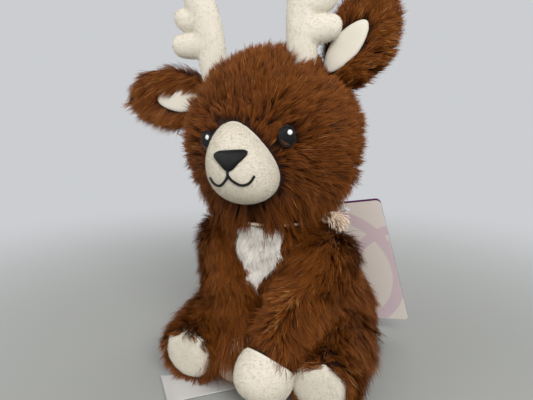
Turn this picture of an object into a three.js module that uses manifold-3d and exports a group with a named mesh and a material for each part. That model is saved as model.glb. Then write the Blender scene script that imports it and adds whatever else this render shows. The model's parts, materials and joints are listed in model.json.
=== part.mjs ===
// A seated plush deer, in millimetres, with +Z up. It faces -Y, so its left side is at +X.
// The origin is on the ground under the middle of its seat. Surfaces lie at the middle of the pile.
import * as THREE from 'three';
import { mergeVertices } from 'three/addons/utils/BufferGeometryUtils.js';
import Module from 'manifold-3d';

const wasm = await Module();
wasm.setup();

// Fits
const seamGap = 0.3; // between pieces that are sewn together or lie on each other
const swingGap = 0.6; // round a piece that swings, over its whole swing
const roomGap = 1.1; // round the coarser shapes that cut the rooms for what swings
const earRoomGap = 2.8; // round an ear and its lining
const armRoomGap = 2.3; // round an arm, whose room is cut at only a few places of its swing
const fillingGap = 1; // between a cover and its filling
const coverWall = 5; // backing fabric and the roots of its pile
const overrun = 4; // how far a cutting shape runs past what it cuts

// Body, a pear that leans a little to the deer's right
const bodyHeight = 131;
const bodySide = 80;
const bodyFront = 43;
const bodyBack = 60;
const seatPlace = [3, 6];
const neckPlace = [-4, -3];
const pouchHeight = 34; // top of the pouch of pellets that weighs down the seat

// Head, a ball on the neck, rolled to its right and turned to its left
const headRadius = 71;
const headRise = 58; // the middle of the head above the top of the body
const headPlace = [-7, -3, bodyHeight + headRise];
const headRollDegrees = 4;
const headTurnDegrees = 4.5;
const neckOpening = 14;
const threadRing = 36.5;
const threadRadius = 0.6;

// Muzzle, nose and mouth
const muzzleWidth = 25.5;
const muzzleHeight = 30;
const muzzleDepth = 30;
const muzzlePlace = [-6.3, -58, -13.5];
const muzzleNarrowShare = 0.22; // how much narrower the top is than the middle
const muzzleAsideShare = -0.14; // how far the muzzle leans across for each rise
const muzzleBackShare = 0.1; // how far it leans back for each rise
const noseAside = -4.2;
const noseWidth = 22.5;
const noseHeight = 14.5;
const noseTop = -3;
const noseRelief = 1.6;
const mouthAside = -5.5;
const mouthWidth = 33;
const mouthDrop = 9.5;
const mouthThread = 0.9;

// Eyes
const eyeWidth = 12.6;
const eyeHeight = 16;
const eyeRelief = 1.5;
const eyeAsideDegrees = 25;
const eyeUpDegrees = 2.5;
const glintWidth = 3.4;
const glintRelief = 0.6;

// Ears
const earLength = { left: 67, right: 74 };
const earHalfWidth = 21;
const earHalfThickness = 6.5;
const earCup = 4; // how far the rims stand forward of the middle
const earUpDegrees = { left: 38, right: 36 }; // place of the root on the head
const earRaisedDegrees = { left: 55, right: 6 };
const earFlapDegrees = 20;
const liningLength = 46;
const liningWidth = 21;
const liningAside = { left: -6, right: 4.5 }; // from the ear's middle, towards its lower rim
const liningLeanShare = { left: 0.15, right: 0 }; // how far its tip leans that way
const liningRelief = 1.6;

// Antlers
const antlerPlace = { left: [31.5, -16.5, 58.5], right: [43, -14, 54] };
const antlerHeight = 79;
const antlerLean = 15; // how far the tip stands outside the root
const antlerRadius = 12;
const antlerFlexDegrees = 10;
const tineRadius = 9.2;
const tineReach = 31;

// Arms
const shoulderDrop = { left: 34, right: 33 }; // below the top of the body
const shoulderPlace = {
  left: [45, -26, bodyHeight - shoulderDrop.left],
  right: [-46, -14, bodyHeight - shoulderDrop.right],
};
const pawPlace = { left: [21, -88, 28], right: [-15.8, -54, 33.3] };
const armRoot = 23;
const armWrist = 19.5;
const armLength = 86; // shoulder to wrist seam
const pawRadius = 20.5;
const pawLength = 30;
const armSwingDegrees = { left: 50, right: 20 };
const armAxisForward = { left: 0, right: 0.36 }; // how far each arm's axis points back, for 1 across

// Legs
const hipPlace = { left: [55, -24, 31.5], right: [-44, -25, 31.5] };
const footHeading = { left: [0.13, -0.986, -0.092], right: [-0.05, -0.992, -0.092] };
const legRoot = 30;
const legAnkle = 25;
const legLength = 57; // hip to the seam of the sole
const soleWidth = 40;
const soleHeight = 40;
const soleCrown = 4;
const soleAside = { left: -2.5, right: -0.5 }; // beside the middle of the leg's end, across the deer
const soleDrop = { left: 4.5, right: 1.5 }; // below it
const legSplayDegrees = 15;

// Bib
const bibDrop = 7; // below the top of the body
const bibLength = 54;
const bibTop = bodyHeight - bibDrop;
const bibAside = 1; // beside the middle of the neck, at its top
const bibLeanShare = 0.11; // how far its tip leans the other way
const bibWidth = 39;
const bibPile = 4;

// Tail
const tailPlace = [1, 62, 38];
const tailRadius = 13;
const tailLength = 34;
const tailRiseDegrees = 35;
const tailWagDegrees = 20;

// Neck cord with its knot and frayed ends
const cordRing = 44;
const cordRadius = 1.2;
const cordDrop = 6.4; // below the top of the body
const cordHeight = bodyHeight - cordDrop;
const knotRadius = 6.8;
const knotOut = 6; // the knot is tied over the pile, outside and above the ring
const knotRise = 3.6;
const knotAngleDegrees = -6;
const tasselLength = 13;
const tasselRadius = 7.5;
const tasselDipDegrees = 10;

// Hang tag of two leaves on a loop of string
const tagWidth = 62;
const tagHeight = 124;
const tagLeaf = 0.6;
const tagCorner = 4;
const tagBackRise = 1.5; // how far the back leaf stands above the front one
const tagHole = 2.2;
const tagHoleDrop = 6;
const tagLeanDegrees = 15;
const tagTiltDegrees = 11.5;
const tagTurnDegrees = -4.7;
const tagHoleAside = 48;
const tagHoleBelow = 6; // below the top of the body
const tagRestShare = 0.42; // the height on the body of the widest part of the back, which the tag leans over
const tagHoleAbove = bodyHeight * (1 - tagRestShare) - tagHoleBelow;
const tagInset = 9.2; // how far the tag's face lies inside the back's furthest point
const tagHolePlace = [
  tagHoleAside,
  seatPlace[1] + bodyBack - tagInset - tagHoleAbove * Math.tan(radians(tagLeanDegrees)),
  bodyHeight - tagHoleBelow,
];
const stringRadius = 0.5;
const stringLoop = 6; // its loop through the hole and over the top of the tag
const stringAside = 25;
const stringBehind = 18.6;
const stringDrop = 5.2; // below the top of the body
const stringAnchor = [stringAside, stringBehind, bodyHeight - stringDrop];

// Care label, flat on the ground under the right leg
const labelLength = 78;
const labelWidth = 36;
const labelThickness = 0.5;
const labelEnd = [-59.6, -98];
const labelTurnDegrees = 43.8;

// Solids and meshes

// A geometry as a solid, with shared corners merged and slivers of no width dropped.
function solid(geometry) {
  const bare = geometry.clone();
  bare.deleteAttribute('normal');
  bare.deleteAttribute('uv');
  const merged = mergeVertices(bare);
  const corners = merged.index.array;
  const kept = [];
  for (let i = 0; i < corners.length; i += 3) {
    const [a, b, c] = corners.slice(i, i + 3);
    if (a !== b && b !== c && c !== a) kept.push(a, b, c);
  }
  return new wasm.Manifold(new wasm.Mesh({
    numProp: 3,
    vertProperties: new Float32Array(merged.attributes.position.array),
    triVerts: new Uint32Array(kept),
  }));
}

function moved(shape, place) {
  return shape.translate(place);
}

function matrixOf(shape, matrix) {
  return shape.transform(matrix.elements);
}

function radians(degrees) {
  return THREE.MathUtils.degToRad(degrees);
}

// Turns a shape about an axis through a point.
function turned(shape, pivot, axis, degrees) {
  const away = new THREE.Matrix4().makeTranslation(...pivot);
  const back = away.clone().invert();
  const line = new THREE.Vector3(...axis).normalize();
  const spin = new THREE.Matrix4().makeRotationAxis(line, radians(degrees));
  return matrixOf(shape, away.multiply(spin).multiply(back));
}

// All the space that a shape takes as it turns about a pivot from the first angle to the last.
function swept(shape, pivot, axis, first, last, steps) {
  let space = turned(shape, pivot, axis, first);
  for (let i = 1; i <= steps; i += 1) {
    space = space.add(turned(shape, pivot, axis, first + ((last - first) * i) / steps));
  }
  return space;
}

// All the space that a limb takes as it lifts: where it starts and ends, and the fan between.
function lifted(shape, pivot, heading, axis, angle, reach, radius) {
  const along = new THREE.Vector3(...heading);
  const normal = new THREE.Vector3(...axis).normalize();
  const ahead = new THREE.Vector3().crossVectors(normal, along);
  const fan = new THREE.Shape();
  fan.moveTo(0, 0);
  fan.absarc(0, 0, reach, 0, radians(angle), false);
  const slice = new THREE.ExtrudeGeometry(fan, { depth: 2 * radius, bevelEnabled: false, curveSegments: 4 });
  slice.translate(0, 0, -radius);
  const matrix = new THREE.Matrix4().makeBasis(along, ahead, normal).setPosition(...pivot);
  return swept(shape, pivot, axis, 0, angle, 5).add(matrixOf(solid(slice), matrix));
}

// Places a shape that runs along +Z from the origin so that it runs from a point along a heading.
function aimed(shape, from, heading) {
  const turn = new THREE.Quaternion().setFromUnitVectors(
    new THREE.Vector3(0, 0, 1),
    new THREE.Vector3(...heading).normalize(),
  );
  const matrix = new THREE.Matrix4().makeRotationFromQuaternion(turn).setPosition(...from);
  return matrixOf(shape, matrix);
}

function headingBetween(from, to) {
  return new THREE.Vector3(...to).sub(new THREE.Vector3(...from)).normalize().toArray();
}

// Shapes

// A smooth closed form. A unit ball's rings follow the rows of a table from its first to its last, and
// place(row, across, over) gives the point at one angle of the ring.
function lofted(rows, place, around, along) {
  const places = rows.map((_, i) => i / (rows.length - 1));
  const curve = new THREE.CubicInterpolant(places, rows.flat(), rows[0].length);
  const geometry = new THREE.SphereGeometry(1, around, along);
  geometry.rotateX(Math.PI / 2);
  const points = geometry.attributes.position;
  for (let i = 0; i < points.count; i += 1) {
    const height = THREE.MathUtils.clamp(points.getZ(i), -1, 1);
    const row = Array.from(curve.evaluate(1 - Math.acos(height) / Math.PI));
    const girth = Math.hypot(points.getX(i), points.getY(i)) || 1;
    const atPole = Math.abs(height) > 1 - Number.EPSILON * points.count;
    const across = atPole ? 0 : points.getX(i) / girth;
    const over = atPole ? 0 : points.getY(i) / girth;
    points.setXYZ(i, ...place(row, across, over));
  }
  return solid(geometry);
}

// A ball whose flats all lie outside its radius, for cutting a seat that a ball turns in.
function clearingBall(radius, around) {
  const share = Math.cos(Math.PI / around) ** 2;
  return solid(new THREE.SphereGeometry(radius / share, around, around / 2));
}

// A closed profile of [radius, along] points turned about Z.
function turnedProfile(points, around) {
  const outline = points.map(([radius, along]) => new THREE.Vector2(radius, along));
  const geometry = new THREE.LatheGeometry(outline, around);
  geometry.rotateX(Math.PI / 2);
  const made = solid(geometry);
  return made.volume() > 0 ? made : solid(reversed(geometry));
}

function reversed(geometry) {
  const corners = geometry.index.array;
  for (let i = 0; i < corners.length; i += 3) {
    [corners[i], corners[i + 1]] = [corners[i + 1], corners[i]];
  }
  return geometry;
}

// A smooth line through [radius, along] points, with a number of steps.
function smoothLine(points, steps) {
  const line = new THREE.SplineCurve(points.map(([radius, along]) => new THREE.Vector2(radius, along)));
  return line.getPoints(steps).map((point) => [point.x, point.y]);
}

// An outline in X and Z, extruded along Y from one depth to another.
function prism(outline, from, to) {
  const shape = new THREE.Shape(outline.map(([x, z]) => new THREE.Vector2(x, z)));
  const geometry = new THREE.ExtrudeGeometry(shape, { depth: to - from, bevelEnabled: false });
  geometry.rotateX(Math.PI / 2);
  return moved(solid(geometry), [0, to, 0]);
}

function ellipseOutline(width, height, count) {
  return Array.from({ length: count }, (_, i) => {
    const angle = (2 * Math.PI * i) / count;
    return [(Math.cos(angle) * width) / 2, (Math.sin(angle) * height) / 2];
  });
}

// A round thread or cord along a smooth line of points.
function thread(points, radius, sides, steps) {
  const outline = ellipseOutline(2 * radius, 2 * radius, sides).map(([x, y]) => new THREE.Vector2(x, y));
  const path = new THREE.CatmullRomCurve3(points.map((point) => new THREE.Vector3(...point)));
  return solid(new THREE.ExtrudeGeometry(new THREE.Shape(outline), { extrudePath: path, steps }));
}

// Head, in its own frame with the origin at the middle of its ball

// The lower half keeps to a true ball, which turns in the neck. The crown narrows and the brow is flatter.
function headForm(extra, around) {
  const ball = new THREE.SphereGeometry(1, around, around / 2);
  ball.rotateX(Math.PI / 2);
  const points = ball.attributes.position;
  const size = headRadius + extra;
  const crownNarrowShare = 0.05;
  const browFlatShare = 0.03;
  for (let i = 0; i < points.count; i += 1) {
    const [x, y, z] = [points.getX(i), points.getY(i), points.getZ(i)];
    const crown = 1 - crownNarrowShare * Math.max(0, z) ** 2;
    const brow = 1 - browFlatShare * Math.max(0, -y) * Math.max(0, z);
    points.setXYZ(i, size * x * crown, size * y * brow, size * z);
  }
  return solid(ball);
}

function muzzleForm(extra) {
  const geometry = new THREE.SphereGeometry(1, 20, 12);
  const points = geometry.attributes.position;
  for (let i = 0; i < points.count; i += 1) {
    const [x, y, z] = [points.getX(i), points.getY(i), points.getZ(i)];
    const narrow = 1 - muzzleNarrowShare * z;
    const rise = (muzzleHeight + extra) * z;
    const across = (muzzleWidth + extra) * narrow * x + muzzleAsideShare * rise;
    points.setXYZ(i, across, (muzzleDepth + extra) * y + muzzleBackShare * rise, rise);
  }
  return moved(solid(geometry), muzzlePlace);
}

// How far forward the muzzle's front lies at a place across and up.
function muzzleFront(x, z) {
  const rise = z - muzzlePlace[2];
  const up = rise / muzzleHeight;
  const narrow = 1 - muzzleNarrowShare * up;
  const across = (x - muzzlePlace[0] - muzzleAsideShare * rise) / (muzzleWidth * narrow);
  const bulge = muzzleDepth * Math.sqrt(1 - up * up - across * across);
  return muzzlePlace[1] + muzzleBackShare * rise - bulge;
}

// Rows of [along, half width, half thickness] shares, from the root to the tip.
const earShares = [
  [-0.17, 0, 0],
  [-0.14, 0.36, 0.6],
  [0.02, 0.58, 0.95],
  [0.2, 0.84, 1],
  [0.42, 1, 1],
  [0.64, 0.92, 0.95],
  [0.83, 0.66, 0.8],
  [0.96, 0.3, 0.5],
  [1, 0, 0],
];

const earCoreShare = 0.86; // the ball that the root keeps to inside the head

// An ear along +Z, with its front at -Y.
function earForm(side, extra, around, along) {
  return lofted(earShares, ([far, wide, thick], across, over) => [
    across * (wide * earHalfWidth + (wide > 0 ? extra : 0)),
    over * (thick * earHalfThickness + (thick > 0 ? extra : 0)) - earCup * (wide * across) ** 2,
    far * earLength[side] + extra * Math.sign(far - earShares[4][0]) * (1 - wide),
  ], around, along);
}

function earRootPlace(side) {
  const out = headRadius - earHalfThickness / 2;
  return [out * Math.cos(radians(earUpDegrees[side])), 0, out * Math.sin(radians(earUpDegrees[side]))];
}

// Leans a shape that runs along +Z outward, to a height above the level.
function raised(shape, degrees) {
  return turned(shape, [0, 0, 0], [0, 1, 0], 90 - degrees);
}

const liningStart = 2; // of the lining, from the root along the ear
const liningTaperShare = 0.3; // how much narrower its ends are

function liningOutline(side) {
  const middle = liningStart + liningLength / 2;
  return ellipseOutline(liningWidth, liningLength, 18).map(([x, z]) => {
    const taper = 1 - (liningTaperShare * Math.abs(z)) / liningLength;
    return [x * taper + liningAside[side] + liningLeanShare[side] * z, z + middle];
  });
}

function makeEar(side) {
  const across = side === 'left' ? 1 : -1;
  const seat = (shape) => {
    const up = moved(raised(shape, earRaisedDegrees[side]), earRootPlace(side));
    return across > 0 ? up : up.mirror([1, 0, 0]);
  };
  const outer = earForm(side, 0, 16, 12);
  const lining = earForm(side, seamGap + liningRelief, 16, 12)
    .subtract(earForm(side, seamGap, 16, 12))
    .intersect(prism(liningOutline(side), -earHalfThickness * 4, -earHalfThickness / 4));
  const [rootAside, rootBack, rootUp] = earRootPlace(side);
  const pivot = [across * rootAside, rootBack, rootUp];
  const loose = seat(earForm(side, earRoomGap, 10, 8));
  return {
    outer: seat(outer),
    lining: seat(lining),
    room: swept(loose, pivot, [0, 1, 0], -earFlapDegrees, earFlapDegrees, 2),
    core: moved(clearingBall(earHalfWidth * earCoreShare, 12), pivot),
  };
}

// Rows of [up, girth, lean] shares of an antler's stem.
const stemShares = [
  [-0.12, 0, 0],
  [-0.09, 0.62, 0],
  [0, 0.92, 0],
  [0.25, 1, 0.06],
  [0.5, 1.02, 0.2],
  [0.72, 1.06, 0.5],
  [0.88, 0.92, 0.82],
  [0.97, 0.55, 1],
  [1, 0, 1.02],
];
const antlerFlatShare = 0.76; // thickness against width
// Rows of [height on the stem, reach, rise] shares for each tine.
const tineShares = {
  left: [[0.22, 1, 0.1], [0.46, 0.96, 0.16]],
  right: [[0.29, 1.14, 0.1], [0.52, 1, 0.16]],
};

function tine([height, reach, rise], extra, around) {
  const length = tineReach * reach;
  const tube = new THREE.CapsuleGeometry(tineRadius + extra, length - tineRadius, around / 4, around);
  const start = [(length - tineRadius) / 2, 0, antlerHeight * height + (tineReach * rise) / 2];
  return moved(turned(solid(tube), [0, 0, 0], [0, 0, 1], -90), start);
}

function antlerForm(side, extra, around) {
  let form = lofted(stemShares, ([up, girth, lean], across, over) => [
    across * (girth * antlerRadius + (girth > 0 ? extra : 0)) + lean * antlerLean,
    over * (girth * antlerRadius + (girth > 0 ? extra : 0)),
    up * antlerHeight,
  ], around, around);
  for (const shares of tineShares[side]) form = form.add(tine(shares, extra, around));
  return moved(form.scale([1, antlerFlatShare, 1]), antlerPlace[side]);
}

function makeAntler(side) {
  const across = side === 'left' ? 1 : -1;
  const seat = (shape) => (across > 0 ? shape : shape.mirror([1, 0, 0]));
  const [aside, forward, rise] = antlerPlace[side];
  const pivot = [across * aside, forward, rise];
  const loose = seat(antlerForm(side, roomGap, 12));
  return {
    form: seat(antlerForm(side, 0, 10)),
    room: swept(loose, pivot, [0, 1, 0], -antlerFlexDegrees, antlerFlexDegrees, 1),
    core: moved(clearingBall(antlerRadius, 12), pivot),
  };
}

// An oval patch on the head, of a width and height, between two levels over its surface.
function headPatch(width, height, aside, up, low, high, shift) {
  const outline = ellipseOutline(width, height, 18).map(([x, z]) => [x + shift[0], z + shift[1]]);
  let column = prism(outline, -2 * headRadius, -headRadius / 2);
  column = turned(column, [0, 0, 0], [1, 0, 0], -up);
  column = turned(column, [0, 0, 0], [0, 0, 1], aside);
  const fineSides = 64;
  return headForm(high, fineSides).subtract(headForm(low, fineSides)).intersect(column);
}

function makeEye(side) {
  const aside = side === 'left' ? eyeAsideDegrees : -eyeAsideDegrees;
  const eyeTop = seamGap + eyeRelief;
  const glintTop = eyeTop + seamGap + glintRelief;
  const glintShift = [eyeWidth / 6, eyeHeight / 6];
  const [roomWidth, roomHeight] = [eyeWidth + 2 * seamGap, eyeHeight + 2 * seamGap];
  return {
    room: headPatch(roomWidth, roomHeight, aside, eyeUpDegrees, 0, glintTop + seamGap, [0, 0]),
    oval: headPatch(eyeWidth, eyeHeight, aside, eyeUpDegrees, seamGap, eyeTop, [0, 0]),
    glint: headPatch(glintWidth, glintWidth, aside, eyeUpDegrees, eyeTop + seamGap, glintTop, glintShift),
  };
}

// Rows of [across, down] shares of the nose, round its rounded triangle.
const noseShares = [
  [0, 0], [0.3, 0.01], [0.45, 0.08], [0.5, 0.22], [0.44, 0.4], [0.28, 0.66], [0.12, 0.92], [0, 1],
];

function makeNose() {
  const half = noseShares.map(([x, down]) => [x * noseWidth, noseTop - down * noseHeight]);
  const other = half.slice(1, -1).reverse().map(([x, z]) => [-x, z]);
  const outline = [...half, ...other].reverse().map(([x, z]) => [x + noseAside, z]);
  const column = prism(outline, muzzlePlace[1] - 2 * muzzleDepth, muzzlePlace[1]);
  return muzzleForm(seamGap + noseRelief).subtract(muzzleForm(seamGap)).intersect(column);
}

// Rows of [across, down] shares of one side of the mouth, from under the nose to its corner.
const mouthShares = [[0, 0.24], [0.07, 0.6], [0.24, 1], [0.4, 0.88], [0.5, 0.42]];
const mouthStubShares = [0.05, 0.16, 0.3]; // the short thread down from the nose

function makeMouth() {
  const lift = mouthThread + seamGap * 2;
  const onMuzzle = ([x, z]) => [x + mouthAside, muzzleFront(x + mouthAside, z) - lift, z];
  const start = noseTop - noseHeight;
  const places = mouthShares.map(([x, down]) => [x * mouthWidth, start - down * mouthDrop]);
  const stub = mouthStubShares.map((share) => [0, start - share * mouthDrop]);
  const sides = [1, -1].map((way) => places.map(([x, z]) => onMuzzle([way * x, z])));
  let mouth = thread(stub.map(onMuzzle), mouthThread, 5, 3);
  for (const side of sides) mouth = mouth.add(thread(side, mouthThread, 5, 9));
  return mouth.subtract(muzzleForm(seamGap));
}

// Body

// Rows of [height, side, front, back] shares, from the middle of the seat to the middle of the neck.
const bodyShares = [
  [0, 0, 0, 0],
  [0, 0.45, 0.4, 0.42],
  [0.004, 0.78, 0.74, 0.76],
  [0.1, 0.94, 0.92, 0.93],
  [0.26, 1, 1, 1],
  [0.42, 0.975, 1, 1],
  [0.57, 0.88, 0.98, 0.93],
  [0.71, 0.77, 0.96, 0.84],
  [0.83, 0.67, 0.97, 0.77],
  [0.92, 0.58, 0.97, 0.73],
  [0.975, 0.44, 0.82, 0.6],
  [1, 0.2, 0.4, 0.3],
  [1, 0, 0, 0],
];

function bodyForm(extra, around, along) {
  return lofted(bodyShares, ([high, side, front, back], across, over) => {
    const rise = THREE.MathUtils.clamp(high, 0, 1);
    const grown = side > 0 ? extra : 0;
    return [
      THREE.MathUtils.lerp(seatPlace[0], neckPlace[0], rise) + across * (side * bodySide + grown),
      THREE.MathUtils.lerp(seatPlace[1], neckPlace[1], rise)
        + over * ((over < 0 ? front * bodyFront : back * bodyBack) + grown),
      -extra + rise * (bodyHeight + 2 * extra),
    ];
  }, around, along);
}

// Everything above or below a level.
function slab(from, to) {
  const wide = 4 * bodySide;
  return moved(solid(new THREE.BoxGeometry(wide, wide, to - from)), [0, 0, (from + to) / 2]);
}

// Limbs, along +Z from their pivot

// The outer line of a limb's cover, from its rounded root to its seam.
function limbLine(root, end, length, extra) {
  const rootSteps = 4;
  const line = [];
  for (let i = 0; i < rootSteps; i += 1) {
    const angle = (Math.PI / 2) * (i / rootSteps - 1);
    line.push([(root + extra) * Math.cos(angle), (root + extra) * Math.sin(angle)]);
  }
  const swell = smoothLine([
    [root, 0],
    [root - (root - end) / 5, length / 3],
    [end + (root - end) / 4, (2 * length) / 3],
    [end, length],
  ], 5);
  return line.concat(swell.map(([radius, along]) => [radius + extra, along]));
}

// A limb's cover is open at its root, where it is sewn in, and at its end.
function limbCover(root, end, length) {
  const outer = limbLine(root, end, length, 0).slice(1);
  const inner = limbLine(root, end, length, -coverWall).slice(1).reverse();
  return turnedProfile([...outer, ...inner, outer[0]], 18);
}

function limbSolid(root, end, length, extra, around) {
  const line = limbLine(root, end, length, extra);
  return turnedProfile([[0, line[0][1]], ...line.slice(1), [0, line.at(-1)[1]]], around);
}

// A paw's line of [radius, along] shares beyond the wrist.
const pawShares = [[0.93, 0], [1, 0.24], [0.97, 0.5], [0.8, 0.78], [0.45, 0.96], [0, 1]];

function pawForm(extra, around) {
  const start = armLength + seamGap - extra;
  const line = smoothLine(pawShares.map(([radius, along]) => [
    radius * pawRadius + (radius > 0 ? extra : 0),
    start + along * (pawLength + 2 * extra),
  ]), 8);
  return turnedProfile([[0, start], ...line], around);
}

// An arm's axis crosses the deer from left to right, square to the arm.
function armAxis(side) {
  const [x, y, z] = headingBetween(shoulderPlace[side], pawPlace[side]);
  return [-1, armAxisForward[side], (x - armAxisForward[side] * y) / z];
}

function makeArm(side) {
  const pivot = shoulderPlace[side];
  const heading = headingBetween(pivot, pawPlace[side]);
  const seat = (shape) => aimed(shape, pivot, heading);
  const whole = seat(limbSolid(armRoot, armWrist, armLength, armRoomGap, 12).add(pawForm(armRoomGap, 12)));
  const reach = armLength + pawLength + armRoomGap;
  const [axis, angle] = [armAxis(side), armSwingDegrees[side]];
  return {
    cover: seat(limbCover(armRoot, armWrist, armLength)),
    filling: seat(limbSolid(armRoot, armWrist, armLength, -coverWall - fillingGap, 12)),
    paw: seat(pawForm(0, 18)),
    rest: whole,
    room: lifted(whole, pivot, heading, axis, angle, reach, pawRadius + armRoomGap),
    core: swept(whole, pivot, axis, 0, angle, 1).add(moved(clearingBall(armRoot + roomGap, 12), pivot)),
  };
}

// Rows of [radius, out] shares of a sole, an oval pad crowned outwards on the flat end of the leg.
const soleShares = [[0, 0], [0.5, 0], [0.5, 0.33], [0.42, 0.66], [0.24, 0.92], [0, 1]];

function soleForm(side) {
  const line = soleShares.map(([radius, out]) => [radius, legLength + seamGap + out * soleCrown]);
  return moved(turnedProfile(line, 18).scale([soleWidth, soleHeight, 1]), [soleAside[side], -soleDrop[side], 0]);
}

function makeLeg(side) {
  const pivot = hipPlace[side];
  const seat = (shape) => aimed(shape, pivot, footHeading[side]);
  const splay = side === 'left' ? legSplayDegrees : -legSplayDegrees;
  const whole = limbSolid(legRoot, legAnkle, legLength, roomGap, 12);
  return {
    cover: seat(limbCover(legRoot, legAnkle, legLength)),
    filling: seat(limbSolid(legRoot, legAnkle, legLength, -coverWall - fillingGap, 12)),
    sole: seat(soleForm(side)),
    room: swept(seat(whole), pivot, [0, 0, 1], 0, splay, 2),
    core: moved(clearingBall(legRoot + swingGap, 14), pivot),
    pressed: swept(arms[side].rest, pivot, [0, 0, 1], 0, -splay, 2),
  };
}

// Rows of [width, height] shares of the bib, down its left side.
const bibShares = [[0.42, 1], [0.5, 0.84], [0.47, 0.6], [0.34, 0.42], [0.22, 0.24], [0.1, 0.08], [0, 0]];

function makeBib() {
  const half = bibShares.map(([x, up]) => [x * bibWidth, bibTop - (1 - up) * bibLength]);
  const other = half.slice(0, -1).reverse().map(([x, z]) => [-x, z]);
  const lean = ([x, z]) => [x + neckPlace[0] + bibAside + bibLeanShare * (z - bibTop), z];
  const column = prism([...half, ...other].reverse().map(lean), -2 * bodyFront, -bodyFront / 2);
  return bodyForm(seamGap + bibPile, 32, 16).subtract(bodyForm(seamGap, 32, 16)).intersect(column);
}

// Rows of [radius, along] shares of the tail, its rounded root in tail radii and its brush in tail lengths.
const tailRootShares = [[0, -1], [0.7, -0.7]];
const tailBrushShares = [[1, 0], [0.95, 0.4], [0.6, 0.8], [0, 1]];

function tailForm(extra) {
  const grown = tailRadius + extra;
  const root = tailRootShares.map(([radius, along]) => [radius * grown, along * grown]);
  const brush = smoothLine(tailBrushShares.map(([radius, along]) => [
    radius > 0 ? radius * tailRadius + extra : 0,
    along * (tailLength + extra),
  ]), 7);
  return turnedProfile([...root, ...brush], 14);
}

function makeTail() {
  const heading = [0, Math.cos(radians(tailRiseDegrees)), Math.sin(radians(tailRiseDegrees))];
  const seat = (shape) => aimed(shape, tailPlace, heading);
  return {
    form: seat(tailForm(0)),
    room: swept(seat(tailForm(roomGap)), tailPlace, [0, 0, 1], -tailWagDegrees, tailWagDegrees, 2),
    core: moved(clearingBall(tailRadius + swingGap, 12), tailPlace),
  };
}

// A ring lying level round the neck.
function neckRing(ring, radius, height, sides, steps, middle) {
  return moved(solid(new THREE.TorusGeometry(ring, radius, sides, steps)), [middle[0], middle[1], height]);
}

const knotReach = cordRing + knotOut;
const knotPlace = [
  headPlace[0] + knotReach * Math.cos(radians(knotAngleDegrees)),
  headPlace[1] + knotReach * Math.sin(radians(knotAngleDegrees)),
  cordHeight + knotRise,
];

function makeCord(extra) {
  const ring = neckRing(cordRing, cordRadius + extra, cordHeight, 5, 30, headPlace);
  return ring.add(moved(solid(new THREE.SphereGeometry(knotRadius + extra, 10, 7)), knotPlace));
}

// Rows of [radius, along] shares of the frayed ends, which fan out and down from the knot.
const tasselShares = [[0, 0], [0.25, 0], [0.5, 0.25], [0.9, 0.7], [1, 0.95], [0.7, 1], [0, 1]];

function makeTassel() {
  const line = tasselShares.map(([radius, along]) => [radius * tasselRadius, along * tasselLength]);
  const fan = turnedProfile(line, 14);
  const [aside, dip] = [radians(knotAngleDegrees), radians(tasselDipDegrees)];
  const out = [Math.cos(dip) * Math.cos(aside), Math.cos(dip) * Math.sin(aside), -Math.sin(dip)];
  return aimed(fan, knotPlace.map((at, i) => at + out[i] * (knotRadius + seamGap)), out);
}

// The tag's own frame has its hole at the origin, its width along X and its height down -Z.
const tagMatrix = new THREE.Matrix4()
  .makeTranslation(...tagHolePlace)
  .multiply(new THREE.Matrix4().makeRotationZ(radians(tagTurnDegrees)))
  .multiply(new THREE.Matrix4().makeRotationX(radians(tagLeanDegrees)))
  .multiply(new THREE.Matrix4().makeRotationY(radians(-tagTiltDegrees)));

// One leaf of the tag, from a depth behind the front, with its top raised.
function makeLeaf(depth, rise) {
  const [half, top] = [tagWidth / 2 - tagCorner, tagHoleDrop - tagCorner + rise];
  const bottom = tagHoleDrop - tagHeight + tagCorner;
  const shape = new THREE.Shape();
  shape.absarc(half, top, tagCorner, 0, Math.PI / 2);
  shape.absarc(-half, top, tagCorner, Math.PI / 2, Math.PI);
  shape.absarc(-half, bottom, tagCorner, Math.PI, Math.PI * 1.5);
  shape.absarc(half, bottom, tagCorner, Math.PI * 1.5, Math.PI * 2);
  shape.holes.push(new THREE.Path().absarc(0, 0, tagHole, 0, Math.PI * 2, true));
  const card = new THREE.ExtrudeGeometry(shape, { depth: tagLeaf, bevelEnabled: false, curveSegments: 6 });
  card.rotateX(Math.PI / 2);
  card.translate(0, depth, 0);
  return matrixOf(solid(card), tagMatrix);
}

// A string looped through the hole and over the top of the tag, with its ends sewn in beside the neck.
function makeString(extra) {
  const loop = new THREE.TorusGeometry(stringLoop, stringRadius + extra, 5, 16);
  loop.rotateY(Math.PI / 2);
  loop.translate(0, 0, stringLoop);
  const top = new THREE.Vector3(0, 0, 2 * stringLoop).applyMatrix4(tagMatrix);
  const end = new THREE.Vector3(...stringAnchor);
  const middle = top.clone().add(end).divideScalar(2);
  const strand = thread([top.toArray(), middle.toArray(), stringAnchor], stringRadius + extra, 5, 3);
  return matrixOf(solid(loop), tagMatrix).add(strand);
}

function makeLabel() {
  const height = seamGap + labelThickness / 2;
  const satin = solid(new THREE.BoxGeometry(labelLength, labelWidth, labelThickness));
  const strip = moved(satin, [labelLength / 2, 0, height]);
  return moved(turned(strip, [0, 0, 0], [0, 0, 1], labelTurnDegrees), [...labelEnd, 0]);
}

// Meshes

const brown = 0x7a4420;
const cream = 0xefe6cf;
const black = 0x141312;

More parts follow.
